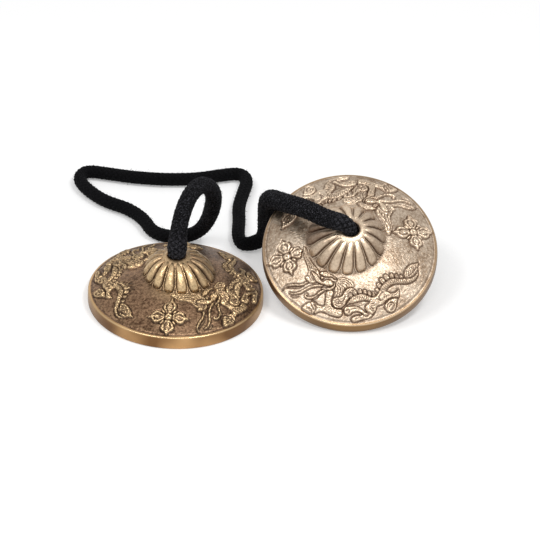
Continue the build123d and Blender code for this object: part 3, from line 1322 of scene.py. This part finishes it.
            # Painted highlight on the plate by the boss's foot, on the side the light comes from.
            highlight = self.foot_highlight * ramp(radius, *self.foot_highlight_span[::-1]) * lit_side
            # The plate darker close round the boss's foot.
            foot = self.foot_darkening * ramp(radius, *self.foot_span)
            edge = np.full(len(turns), ramp(radius, self.rim_start, self.rim_start + 0.3))
            rows.append((
                np.stack([spread * np.cos(turns), spread * np.sin(turns), level + lift], 1),
                np.stack([np.maximum(recess, foot), np.maximum(crest, highlight), edge], 1),
            ))
        return rows

    def underneath(self) -> List[Row]:
        """Makes the rings of the rim, the underside, the hollow and the bore.

        Returns:
            The rings from the rim's top edge round underneath to the lip.
        """
        facing = whole_turn(self.around) + math.radians(self.pattern_deg - self.light_side_deg)
        rows = []
        for radius, level in self.turned_section():
            if radius > self.rim_start:
                # Painted highlight along the rim's rounded top edge.
                points, tags = self.ring(radius, level, 0.0, self.rim_edge_highlight * ramp(level, 4.45, 4.75), 1.0)
                # Painted shade on the rim's sides, away from the light's side and its opposite.
                tags[:, 0] = self.rim_side_shade * (0.5 - 0.5 * np.cos(2 * facing))
            else:
                dirt = 0.0 if radius > self.ring_inner - 0.1 else self.under_dirt
                points, tags = self.ring(radius, level, dirt, 0.0, self.under_polish)
            rows.append((points, tags))
        return rows

    @staticmethod
    def skin(counts: Sequence[int]) -> Faces:
        """Joins rings into one closed skin, the last to the first.

        Args:
            counts: points in each ring, the same as its neighbour's, a third of them or three times as many.

        Returns:
            The faces.
        """
        starts = np.concatenate([[0], np.cumsum(counts)])
        faces: Faces = []
        order = list(range(len(counts))) + [0]
        for here, there in zip(order[:-1], order[1:]):
            a, b, n, m = starts[here], starts[there], counts[here], counts[there]
            if n == m:
                faces += [(a + i, b + i, b + (i + 1) % n, a + (i + 1) % n) for i in range(n)]
                continue
            inner, outer, few = (a, b, n) if n < m else (b, a, m)
            for i in range(few):
                c0, c1 = inner + i, inner + (i + 1) % few
                d = [outer + (3 * i + k) % (3 * few) for k in range(4)]
                patches = [(c0, d[0], d[1]), (c0, d[1], d[2], c1), (c1, d[2], d[3])]
                faces += patches if n < m else [tuple(reversed(p)) for p in patches]
        return faces

    def casting(self) -> bpy.types.Object:
        """Builds the whole casting as one closed skin.

        Returns:
            The casting, in place.
        """
        upper = self.over_boss() + self.over_plate()
        rows = upper + self.underneath()
        points = spun(np.vstack([spots for spots, _ in rows]), self.pattern_deg)
        self.shift_boss(points[: sum(len(spots) for spots, _ in upper)])
        tags = np.vstack([values for _, values in rows])
        faces = self.skin([len(spots) for spots, _ in rows])
        made = mesh_object(f"{self.name}_casting", points, faces, dict(zip(TAGS, tags.T)))
        made.data.transform(self.placement())
        return face_outward(made)

    def lobe_rings(self) -> Tuple[np.ndarray, np.ndarray]:
        """Models one domed lobe of the boss along x.

        Returns:
            Its rings of points, and the tags of all points.
        """
        turns = whole_turn(self.lobe_section)
        top, lower, side = np.maximum(np.sin(turns), 0), np.minimum(np.sin(turns), 0), np.cos(turns)
        ending = self.lobe_end - self.lobe_round
        nose = self.lobe_round + ending * np.sin(np.linspace(0, math.pi / 2, self.nose_rows))[1:]
        rings, tags = [], []
        for radius in np.concatenate([np.linspace(self.lobe_start, self.lobe_round, self.lobe_rows), nose]):
            past = max(0.0, (radius - self.lobe_round) / ending)
            opening = min(1.0, (radius - self.lobe_start) / self.lobe_opening + 0.25)
            half = self.lobe_share * min(radius, self.lobe_widest) + 0.02
            half = max(0.04, half * math.sqrt(max(0.0, 1 - past**2)) * opening)
            full = ramp(radius, self.lobe_start, self.lobe_start + self.lobe_rise) ** 0.8
            pillow = self.lobe_pillow * full - 0.04
            floor = -self.flute(radius) - self.lobe_sink
            crown = floor + (pillow - floor) * math.sqrt(max(0.0, 1 - past**3.2))
            up = np.where(top > 0, floor + (crown - floor) * top**0.82, floor + 0.4 * lower)
            rings.append(self.seat(radius, half * np.sign(side) * np.abs(side) ** 0.8, up))
            # Along the lobe from foot to top: wear and dirt, with painted light and painted shade graded by
            # height.
            worn = np.interp(radius, self.wear_and_light_span, self.finish.lobe_wear_and_light[::-1])
            dirt = np.interp(radius, self.wear_and_light_span, self.finish.lobe_dirt_and_shade[::-1])
            # Painted shade along the lobe's sides and round its end, where it turns down into the grooves.
            edge = np.clip(1 - top, 0, 1) ** 1.6 * ramp(radius, *self.lobe_dark_span)
            tags.append(np.stack([np.maximum(edge, dirt + 0.7 * past**3), top * worn, 0 * top], 1))
        return np.array(rings), np.vstack(tags)

    def rib_rings(self) -> Tuple[np.ndarray, np.ndarray]:
        """Models the thin rib that runs down one side of the lobe, round its end and up the other side.

        Returns:
            Its rings of points, and the tags of all points.
        """
        middle = math.tan(math.pi / self.lobes)
        legs = np.linspace(self.rib_start, self.lobe_round, self.rib_rows)
        path = [(r, r * middle - 0.004 * r, self.rib_share * r) for r in legs]
        widest = self.lobe_round * middle - 0.07
        for turn in np.linspace(0, math.pi / 2, self.nose_rows)[1:]:
            out = (self.lobe_end - self.lobe_round + self.rib_gap) * math.sin(turn)
            path.append((self.lobe_round + out, widest * math.cos(turn) ** 0.8, self.rib_end_half))
        line = np.array(path + [(r, -a, w) for r, a, w in reversed(path[:-1])])
        ahead = np.gradient(line[:, :2], axis=0)
        ahead /= np.linalg.norm(ahead, axis=1)[:, None]
        turns = whole_turn(self.rib_section)
        sine, cosine = np.sin(turns), np.cos(turns)
        top = np.maximum(sine, 0)
        rings, tags = [], []
        for (radius, across, wide), (dr, da) in zip(line, ahead):
            floor = -self.flute(math.hypot(radius, across))
            height = self.rib_height * ramp(radius, self.rib_start, self.rib_start + 1.5)
            up = np.where(sine > 0, floor + height * top**0.8, floor + 0.3 * sine) - 0.03
            rings.append(self.seat(radius - da * wide * cosine, across + dr * wide * cosine, up))
            bright = self.rib_worn * np.interp(radius, (self.lobe_round, self.lobe_end), (1.0, 0.5))
            tags.append(np.stack([self.rib_dirt * (sine < 0.1), bright * top, 0 * top], 1))
        return np.array(rings), np.vstack(tags)

    def lobe(self) -> bpy.types.Object:
        """Builds one lobe of the boss and its rib, in the cymbal's own frame in mm.

        Returns:
            Both as closed meshes at their first place.
        """
        points, faces, tags = [], [], []
        for rings, values in (self.lobe_rings(), self.rib_rings()):
            tube(rings, points, faces)
            tags.append(values)
        spots = spun(np.vstack(points), self.lobe_phase_deg + self.pattern_deg)
        return mesh_object(f"{self.name}_boss_lobes", spots, faces, dict(zip(TAGS, np.vstack(tags).T)))

    def ring_of_lobes(self, material: bpy.types.Material) -> bpy.types.Object:
        """Sets the lobes round the boss with Geometry Nodes.

        Args:
            material: the bronze.

        Returns:
            The lobes as one plain mesh, in place.
        """
        tree, given = new_tree("boss_lobe_ring", Lobes="Int", Finish="Material")
        seats = node(tree, "GeometryNodeMeshLine", {"Count": given["Lobes"], "Offset": (0.0, 0.0, 0.0)})
        index = node(tree, "GeometryNodeInputIndex")
        pitch = node(tree, MATH, {0: math.tau, 1: given["Lobes"]}, operation="DIVIDE")
        turn = node(tree, MATH, {0: index, 1: pitch}, operation="MULTIPLY")
        spin = node(tree, "ShaderNodeCombineXYZ", {"Z": turn})
        feeds = {"Points": seats, "Instance": given["Geometry"], "Rotation": spin}
        ring = node(tree, "GeometryNodeInstanceOnPoints", feeds)
        finish_tree(tree, ring, given["Finish"])
        made = run_tree(self.lobe(), tree, {"Lobes": self.lobes, "Finish": material})
        points = mesh_points(made.data)
        self.wear_and_shade_lobes(made.data, points)
        made.data.vertices.foreach_set("co", self.shift_boss(points).ravel())
        made.data.transform(self.placement())
        return face_outward(made)

    def wear_and_shade_lobes(self, mesh: bpy.types.Mesh, points: np.ndarray) -> None:
        """Wears each lobe at random, and paints light and shade by where the light falls: painted highlights
        on the lobes facing the light and painted shade on those beside them.

        Args:
            mesh: the ring of lobes.
            points: its points in the cymbal's own frame in mm.
        """
        pitch = math.tau / self.lobes
        first = math.radians(self.lobe_phase_deg + self.pattern_deg)
        index = np.round((np.arctan2(points[:, 1], points[:, 0]) - first) / pitch).astype(int) % self.lobes
        facing = index * pitch + first - math.radians(self.light_side_deg)
        once, twice = self.light_side_shares
        own = np.random.default_rng(self.wear_seed).normal(size=self.lobes)
        # Painted light and shade by direction: lobes towards the light and away from it painted brighter,
        # those at the sides painted darker; the random part is each lobe's own wear.
        share = 1 + once * np.cos(facing) + twice * np.cos(2 * facing) + self.wear_spread * own[index]
        dirt = self.unlit_lobe_shade * np.clip(1 - share, 0, 1)
        for tag, times, plus in (("crest", share, 0), ("recess", 1, dirt)):
            values = np.empty(len(points))
            data = mesh.attributes[tag].data
            data.foreach_get("value", values)
            data.foreach_set("value", np.clip(values * times + plus, 0, 1))

    def build(self) -> None:
        bronze = self.finish.material()
        casting = self.casting()
        casting.data.materials.append(bronze)
        for piece in (casting, self.ring_of_lobes(bronze)):
            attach(piece, self.name)
            LOG.info("%s: %d faces", piece.name, len(piece.data.polygons))
        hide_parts(self.name)


# Cord


@dataclass
class Cord:
    """The soft round braid that joins the cymbals, with a stopper knot in each end."""

    radius: float = 2.4
    diameter: float = 0.0052
    length: float = 0.346
    yarns: int = 8
    lay_deg: float = 38.0
    yarn_ring: float = 1.93
    yarn_wave: float = 0.17
    yarn_half_width: float = 0.66
    yarn_half_thickness: float = 0.32
    core_radius: float = 1.72
    step: float = 0.55
    neat_span: Point2 = (11.0, 18.0)
    knot_height: float = 11.6
    knot_spread: float = 1.22
    knot_depth: float = 1.75
    fuzz_per_cm2: float = 46.0
    fuzz_length: float = 1.05
    fuzz_radius: float = 0.035
    fuzz_clear: float = 12.0
    fuzz_floor: float = 0.1
    fuzz_root: float = 0.92
    fuzz_tilt: Point3 = (0.9, 0.9, 3.14)
    fuzz_sizes: Point2 = (0.35, 1.0)
    fuzz_seed: int = 7
    finish: BlackBraid = field(default_factory=BlackBraid)
    route: Tuple[Point3, ...] = (
        (-32.0, -4.0, 16.2), (-31.9, -4.0, 25.5), (-30.7, 0.2, 34.8), (-27.4, 8.0, 40.2), (-23.2, 16.5, 39.0),
        (-19.0, 23.5, 31.0), (-19.6, 29.5, 18.8), (-22.9, 34.9, 7.4), (-28.2, 35.9, 2.9), (-35.5, 34.7, 2.9),
        (-42.3, 37.8, 2.9), (-45.6, 46.6, 2.9), (-52.0, 53.8, 2.9), (-60.5, 58.0, 2.9), (-66.0, 63.5, 2.9),
        (-70.4, 69.8, 2.9), (-71.8, 75.4, 2.9), (-69.0, 79.9, 2.9), (-60.6, 78.2, 2.9), (-50.0, 76.1, 2.9),
        (-38.0, 75.4, 2.9), (-26.0, 76.6, 2.9), (-17.0, 80.0, 2.9), (-9.9, 81.7, 2.9), (-7.0, 76.8, 2.9),
        (-8.6, 67.5, 2.9), (-10.2, 57.5, 2.9), (-9.6, 47.5, 2.9), (-10.0, 38.0, 2.9), (-8.2, 30.4, 2.9),
        (0.1, 32.1, 4.6), (1.0, 30.0, 14.0), (0.8, 26.5, 22.9), (1.5, 20.8, 30.8), (6.4, 13.5, 33.6),
        (15.2, 4.0, 37.2), (22.8, -3.0, 37.4), (31.6, -3.68, 36.0), (32.0, 0.16, 29.19),
    )
    fullness: Tuple[Point2, ...] = (
        (0.0, 1.0), (0.0095, 1.12), (0.0125, 1.46), (0.020, 1.62), (0.032, 1.46), (0.045, 1.35), (0.08, 1.36),
        (0.11, 1.36), (0.18, 1.34), (0.23, 1.14), (0.30, 1.07), (0.75, 1.08), (0.785, 1.30), (0.81, 1.54),
        (0.86, 1.58), (0.95, 1.50), (0.970, 1.44), (0.987, 1.17), (1.0, 1.0),
    )

    def spline_points(self, name: str, route: Sequence[Point3]) -> np.ndarray:
        """Reads evenly spaced points from a NURBS spline over the route.

        Args:
            name: the curve's name.
            route: the control points in mm.

        Returns:
            Points in metres, one per row.
        """
        curve = bpy.data.curves.new(name, "CURVE")
        curve.dimensions = "3D"
        curve.resolution_u = 24
        spline = curve.splines.new("NURBS")
        spline.points.add(len(route) - 1)
        for point, place in zip(spline.points, route):
            point.co = (*(value * MM for value in place), 1.0)
        spline.order_u = 3
        spline.use_endpoint_u = True
        holder = bpy.data.objects.new(name, curve)
        bpy.context.scene.collection.objects.link(holder)
        mesh = evaluated_mesh(holder)
        points = mesh_points(mesh)
        bpy.data.objects.remove(holder)
        bpy.data.meshes.remove(mesh)
        run = self.run(points)
        even = np.linspace(0, run[-1], max(8, round(run[-1] / (self.step * MM))) + 1)
        return np.stack([np.interp(even, run, points[:, axis]) for axis in range(3)], 1)

    @staticmethod
    def run(points: np.ndarray) -> np.ndarray:
        """How far along a line each of its points lies."""
        return np.concatenate([[0], np.cumsum(np.linalg.norm(np.diff(points, axis=0), axis=1))])

    @staticmethod
    def frames(path: np.ndarray) -> Tuple[np.ndarray, np.ndarray]:
        """Carries a frame along a path without twist.

        Args:
            path: the path's points.

        Returns:
            First and second cross direction at each point.
        """
        tangent = np.gradient(path, axis=0)
        tangent /= np.linalg.norm(tangent, axis=1)[:, None]
        side = np.zeros_like(path)
        guide = np.array([1.0, 0.3, 0.1])
        for i, along in enumerate(tangent):
            guide = guide - along * guide.dot(along)
            guide /= np.linalg.norm(guide)
            side[i] = guide
        return side, np.cross(tangent, side)

    @staticmethod
    def hoops(middle: np.ndarray, wide: np.ndarray, thick: np.ndarray, count: int) -> np.ndarray:
        """Draws a ring of points round each point of a line.

        Args:
            middle: the line's points.
            wide: each ring's half axis one way.
            thick: its half axis the other way.
            count: points in a ring.

        Returns:
            The points, ring by ring.
        """
        turns = whole_turn(count)[:, None]
        return middle[:, None] + np.cos(turns) * wide[:, None] + np.sin(turns) * thick[:, None]

    def braid(self, name: str, path: np.ndarray, fuller: bool = False) -> bpy.types.Object:
        """Plaits yarns round a path, each going over one and under one.

        Args:
            name: the piece's name.
            path: the path's points in metres.
            fuller: True where the braid swells along its length as the cord's does.

        Returns:
            The braid with its core.
        """
        side, cross = self.frames(path)
        run = self.run(path) / MM
        rate = math.tan(math.radians(self.lay_deg)) / self.yarn_ring
        swell = np.full((len(path), 1), MM)
        if fuller:
            swell[:, 0] *= np.interp(run / run[-1], *np.array(self.fullness).T)
        core = self.core_radius * swell
        points: List[np.ndarray] = []
        faces: Faces = []
        tube(self.hoops(path, core * side, core * cross, 10), points, faces)
        crests = [np.zeros(len(points[0]))]
        # Near the bores the yarns' crests are tagged for the painted glint in the yarn's finish.
        neat = np.interp(np.minimum(run, run[-1] - run), self.neat_span, (1.0, 0.0)) * fuller
        turns = whole_turn(6)
        for way in (1, -1):
            for yarn in range(self.yarns):
                angle = way * rate * run[:, None] + yarn * math.tau / self.yarns
                out = np.cos(angle) * side + np.sin(angle) * cross
                wave = way * self.yarn_wave * np.cos(self.yarns * rate * run[:, None])
                middle = path + out * (self.yarn_ring + wave) * swell
                along = np.gradient(middle, axis=0)
                along /= np.linalg.norm(along, axis=1)[:, None]
                flat = np.cross(along, out)
                flat /= np.linalg.norm(flat, axis=1)[:, None]
                wide, thick = self.yarn_half_width * swell, self.yarn_half_thickness * swell
                tube(self.hoops(middle, wide * flat, thick * out, len(turns)), points, faces)
                rise = wave + self.yarn_half_thickness * np.sin(turns)
                rise /= self.yarn_wave + self.yarn_half_thickness
                crests.append((np.clip(rise, 0, 1) * neat[:, None]).ravel())
        return mesh_object(name, np.vstack(points), faces, {"neat_crest": np.concatenate(crests)})

    def knot_route(self) -> List[Point3]:
        """Draws an overhand knot's line in the cymbal's own frame in mm.

        Returns:
            Its points from the neck to the cut end.
        """
        turns = np.linspace(math.pi + 0.42, 3 * math.pi - 0.42, 17)
        loop = zip(
            self.knot_spread * (np.sin(turns) + 2 * np.sin(2 * turns)),
            self.knot_spread * (np.cos(turns) - 2 * np.cos(2 * turns)),
            self.knot_height - self.knot_depth * np.sin(3 * turns),
        )
        top = [(0.0, 0.0, 16.4), (0.0, -0.6, 14.9), (0.0, -2.4, 14.0)]
        return [*top, *loop, (0.0, -2.6, 9.0), (0.0, -1.2, 7.2), (0.0, -0.4, 4.4)]

    def fuzz(self, path: np.ndarray, material: bpy.types.Material) -> bpy.types.Object:
        """Grows loose fibre ends out of the braid with Geometry Nodes.

        Args:
            path: the cord's points in metres.
            material: the yarn's finish.

        Returns:
            The fibres as one plain mesh.
        """
        skip = round(self.fuzz_clear / self.step)
        part = path[skip:-skip]
        side, cross = self.frames(part)
        share = np.linspace(skip / len(path), 1 - skip / len(path), len(part))
        root = self.fuzz_root * self.radius * np.interp(share, *np.array(self.fullness).T)[:, None] * MM
        points: List[np.ndarray] = []
        faces: Faces = []
        tube(self.hoops(part, root * side, root * cross, 8), points, faces)
        made = mesh_object("cord_loose_fibres", np.vstack(points), faces)
        tree, given = new_tree(
            "loose_fibres", Density="Float", Length="Float", Thickness="Float", Seed="Int", Finish="Material"
        )
        length, seed = given["Length"], given["Seed"]
        feeds = {"Mesh": given["Geometry"], "Density": given["Density"], "Seed": seed}
        spread = node(tree, "GeometryNodeDistributePointsOnFaces", feeds).node.outputs
        reach = node(tree, "ShaderNodeCombineXYZ", {"X": length, "Z": length})
        bend = node(tree, "ShaderNodeCombineXYZ", {"Z": length})
        feeds = {"Resolution": 4, "Start": (0.0, 0.0, 0.0), "Middle": bend, "End": reach}
        hair = node(tree, "GeometryNodeCurveQuadraticBezier", feeds)
        feeds = {"Resolution": 3, "Radius": given["Thickness"]}
        profile = node(tree, "GeometryNodeCurvePrimitiveCircle", feeds)
        feeds = {"Curve": hair, "Profile Curve": profile, "Fill Caps": True}
        fibre = node(tree, "GeometryNodeCurveToMesh", feeds)
        feeds = {0: tuple(-most for most in self.fuzz_tilt), 1: self.fuzz_tilt, "Seed": seed}
        tilt = node(tree, "FunctionNodeRandomValue", feeds, data_type="FLOAT_VECTOR")
        feeds = {"Rotation": spread["Rotation"], "Rotate By": tilt}
        turned = node(tree, "FunctionNodeRotateRotation", feeds, rotation_space="LOCAL")
        feeds = {2: self.fuzz_sizes[0], 3: self.fuzz_sizes[1], "Seed": seed}
        size = node(tree, "FunctionNodeRandomValue", feeds, out=1, data_type="FLOAT")
        feeds = {"Points": spread["Points"], "Instance": fibre, "Rotation": turned, "Scale": size}
        hairs = node(tree, "GeometryNodeInstanceOnPoints", feeds)
        finish_tree(tree, hairs, given["Finish"])
        hairy = run_tree(made, tree, {
            "Density": self.fuzz_per_cm2 * 1e4, "Length": self.fuzz_length * MM,
            "Thickness": self.fuzz_radius * MM, "Seed": self.fuzz_seed, "Finish": material,
        })
        spots = mesh_points(hairy.data)
        floor, height = self.fuzz_floor * MM, spots[:, 2]
        spots[:, 2] = np.where(height < floor, floor + 0.1 * np.abs(height), height)
        hairy.data.vertices.foreach_set("co", spots.ravel())
        return hairy

    def build(self, cymbals: Sequence[Cymbal]) -> None:
        """Args:
            cymbals: the left and the right cymbal.
        """
        yarn = self.finish.material()
        path = self.spline_points("cord_route", self.route)
        cord = self.braid("cord_braid", path, fuller=True)
        cord.data.materials.append(yarn)
        knots = []
        knot_path = self.spline_points("knot_route", self.knot_route())
        for cymbal, name in zip(cymbals, ("left", "right")):
            knot = self.braid(f"{name}_stopper_knot", knot_path)
            knot.data.transform(cymbal.placement() @ Matrix.Scale(1 / MM, 4))
            knot.data.materials.append(yarn)
            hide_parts(f"{name}_knot")
            knots.append(knot)
        fibres = self.fuzz(path, yarn)
        for piece in (cord, *knots, fibres):
            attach(piece, "cord")
            LOG.info("%s: %d faces", piece.name, len(piece.data.polygons))
        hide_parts("cord")
        left = cymbals[0]
        exit_point = tuple(left.placement() @ Vector((0.0, 0.0, left.boss_top)))


# Studio


@dataclass
class Studio:
    """A plain pale floor under a white tent, soft lamps and the camera."""

    camera_place: Point3 = (2.66, -1550.55, 1024.79)
    pitch_deg: float = 33.145
    roll_deg: float = 1.905
    lens: float = 333.33
    sensor: float = 36.0
    view_end: float = 50.0
    floor_size: float = 6.0
    floor_gap: float = 0.05
    floor_grey: float = 0.80
    floor_glow: float = 0.30
    tent_light: float = 0.42
    lamp_aim: Point3 = (0.0, 0.03, 0.01)
    lamps: Tuple[Tuple[str, Point3, float, float], ...] = (
        ("key_soft_box", (0.36, -0.31, 1.00), 0.34, 4.0),
        ("fill_soft_box", (-0.50, -0.42, 1.00), 0.50, 3.4),
        ("front_soft_box", (-0.06, -0.75, 0.95), 0.34, 1.7),
    )

    def camera(self) -> None:
        """Sets the camera at the photograph's place, with its long lens."""
        p, r = math.radians(self.pitch_deg), math.radians(self.roll_deg)
        ahead = Vector((0, math.cos(p), -math.sin(p)))
        down = Vector((0, -math.sin(p), -math.cos(p)))
        right = Vector((1, 0, 0))
        x_axis = math.cos(r) * right - math.sin(r) * down
        y_axis = -(math.sin(r) * right + math.cos(r) * down)
        data = bpy.data.cameras.new("camera")
        data.lens, data.sensor_width, data.clip_end = self.lens, self.sensor, self.view_end
        made = bpy.data.objects.new("camera", data)
        bpy.context.scene.collection.objects.link(made)
        turn = Matrix((x_axis, y_axis, -ahead)).transposed().to_4x4()
        made.matrix_world = Matrix.Translation(Vector(self.camera_place) * MM) @ turn
        bpy.context.scene.camera = made

    @staticmethod
    def seen(tree: bpy.types.NodeTree) -> bpy.types.NodeSocket:
        """Tells the rays that look at the surroundings from those that light the object.

        Args:
            tree: the shader tree.

        Returns:
            A socket that is 1 for rays from the camera, off the metal or through it, and 0 for the rest.
        """
        rays = node(tree, "ShaderNodeLightPath").node.outputs
        seen = rays["Is Camera Ray"]
        for kind in ("Is Glossy Ray", "Is Transmission Ray"):
            seen = node(tree, MATH, {0: seen, 1: rays[kind]}, operation="MAXIMUM")
        return seen

    def floor(self) -> None:
        """Lays the pale floor, which shows white to the camera and keeps the shadow."""
        made, tree = new_material("white_paper_sweep")
        glow = node(tree, MATH, {0: self.seen(tree), 1: self.floor_glow}, operation="MULTIPLY")
        light = node(tree, "ShaderNodeEmission", {"Color": (1, 1, 1, 1), "Strength": glow})
        paper = node(tree, "ShaderNodeBsdfDiffuse", {"Color": (self.floor_grey,) * 3 + (1.0,)})
        both = node(tree, "ShaderNodeAddShader", {0: paper, 1: light})
        node(tree, "ShaderNodeOutputMaterial", {"Surface": both})
        half, low = self.floor_size / 2, -self.floor_gap * MM
        corners = np.array([(x * half, y * half, low) for x, y in ((-1, -1), (1, -1), (1, 1), (-1, 1))])
        floor = mesh_object("floor", corners, [(0, 1, 2, 3)])
        floor.data.materials.append(made)

    def lamp(self, name: str, place: Point3, size: float, power: float) -> None:
        """Hangs one soft box, wider than high, that faces the object.

        Args:
            name: the lamp's name.
            place: where it hangs, in metres.
            size: its width in metres.
            power: its power in watts.
        """
        data = bpy.data.lights.new(name, "AREA")
        data.shape, data.size, data.size_y, data.energy = "RECTANGLE", size, 0.6 * size, power
        made = bpy.data.objects.new(name, data)
        bpy.context.scene.collection.objects.link(made)
        aim = Vector(self.lamp_aim) - Vector(place)
        made.matrix_world = Matrix.Translation(place) @ aim.to_track_quat("-Z", "Y").to_matrix().to_4x4()

    def tent(self) -> None:
        """Makes the surroundings white to the camera and the metal, and a soft light for the rest."""
        world = bpy.data.worlds.new("white_tent")
        bpy.context.scene.world = world
        world.use_nodes = True
        tree = world.node_tree
        tree.nodes.clear()
        level = node(tree, RANGE, {"Value": self.seen(tree), "To Min": self.tent_light})
        sky = node(tree, "ShaderNodeBackground", {"Color": (1, 1, 1, 1), "Strength": level})
        node(tree, "ShaderNodeOutputWorld", {"Surface": sky})

    def build(self) -> None:
        """Sets up camera, floor, lamps, surroundings and view."""
        bpy.context.scene.view_settings.view_transform = "Standard"
        self.camera()
        self.floor()
        self.tent()
        for lamp in self.lamps:
            self.lamp(*lamp)


def main() -> None:
    """Builds the whole scene."""
    logging.basicConfig(level=logging.INFO, format="%(name)s %(message)s")
    Studio().build()
    # The left bronze is darker than the right partly for its darker patina and partly as painted shade for
    # how the light falls on each cymbal.
    dark = CastBronze(
        "aged_bell_bronze_left", "#4A3526", "#98795F", "#20130B", "#EFD0A0", "#7C5A3A", "#CFA573",
        crest_share=0.79, lobe_wear_and_light=(1.0, 0.55), lobe_dirt_and_shade=(0.0, 0.02),
    )
    light = CastBronze(
        "aged_bell_bronze_right", "#8C7864", "#C5B5A2", "#54321C", "#F6DEC0", "#6A5136", "#8A6A42",
        recess_share=0.80, crest_share=0.70, cloud_share=0.52, speck_share=0.40, lobe_wear_and_light=(0.74, 0.70),
        lobe_dirt_and_shade=(0.20, 0.06),
    )
    tail = Dragon((Push((23.8, -10.5), (4.8, 5.5), (2.1, -0.9)),))
    back = Dragon((Push((8.3, -20.5), (5.4, 5.0), (0.0, 4.0)),))
    left = Cymbal(
        "left_cymbal", "left_bronze", (-32.0, -3.9728, 0.0), 0.0, 70.7, dark,
        Relief(dragons=(tail, tail), unevenness=0.13, ground_unevenness=0.15),
        boss_shift=(1.2, 0.0), boss_spread=0.955, foot_highlight=0.42, light_side_deg=-88.0,
    )
    right = Cymbal(
        "right_cymbal", "right_bronze", (32.0, 7.4894, 14.7041), 26.9, 0.0, light,
        Relief(dragons=(Dragon(), back)),
        boss_shift=(-1.6, 0.0), boss_spread=1.045, light_side_deg=-88.0, light_side_shares=(0.16, 0.46),
    )
    Cord().build((left, right))
    left.build()
    right.build()


if __name__ == "__main__":
    main()
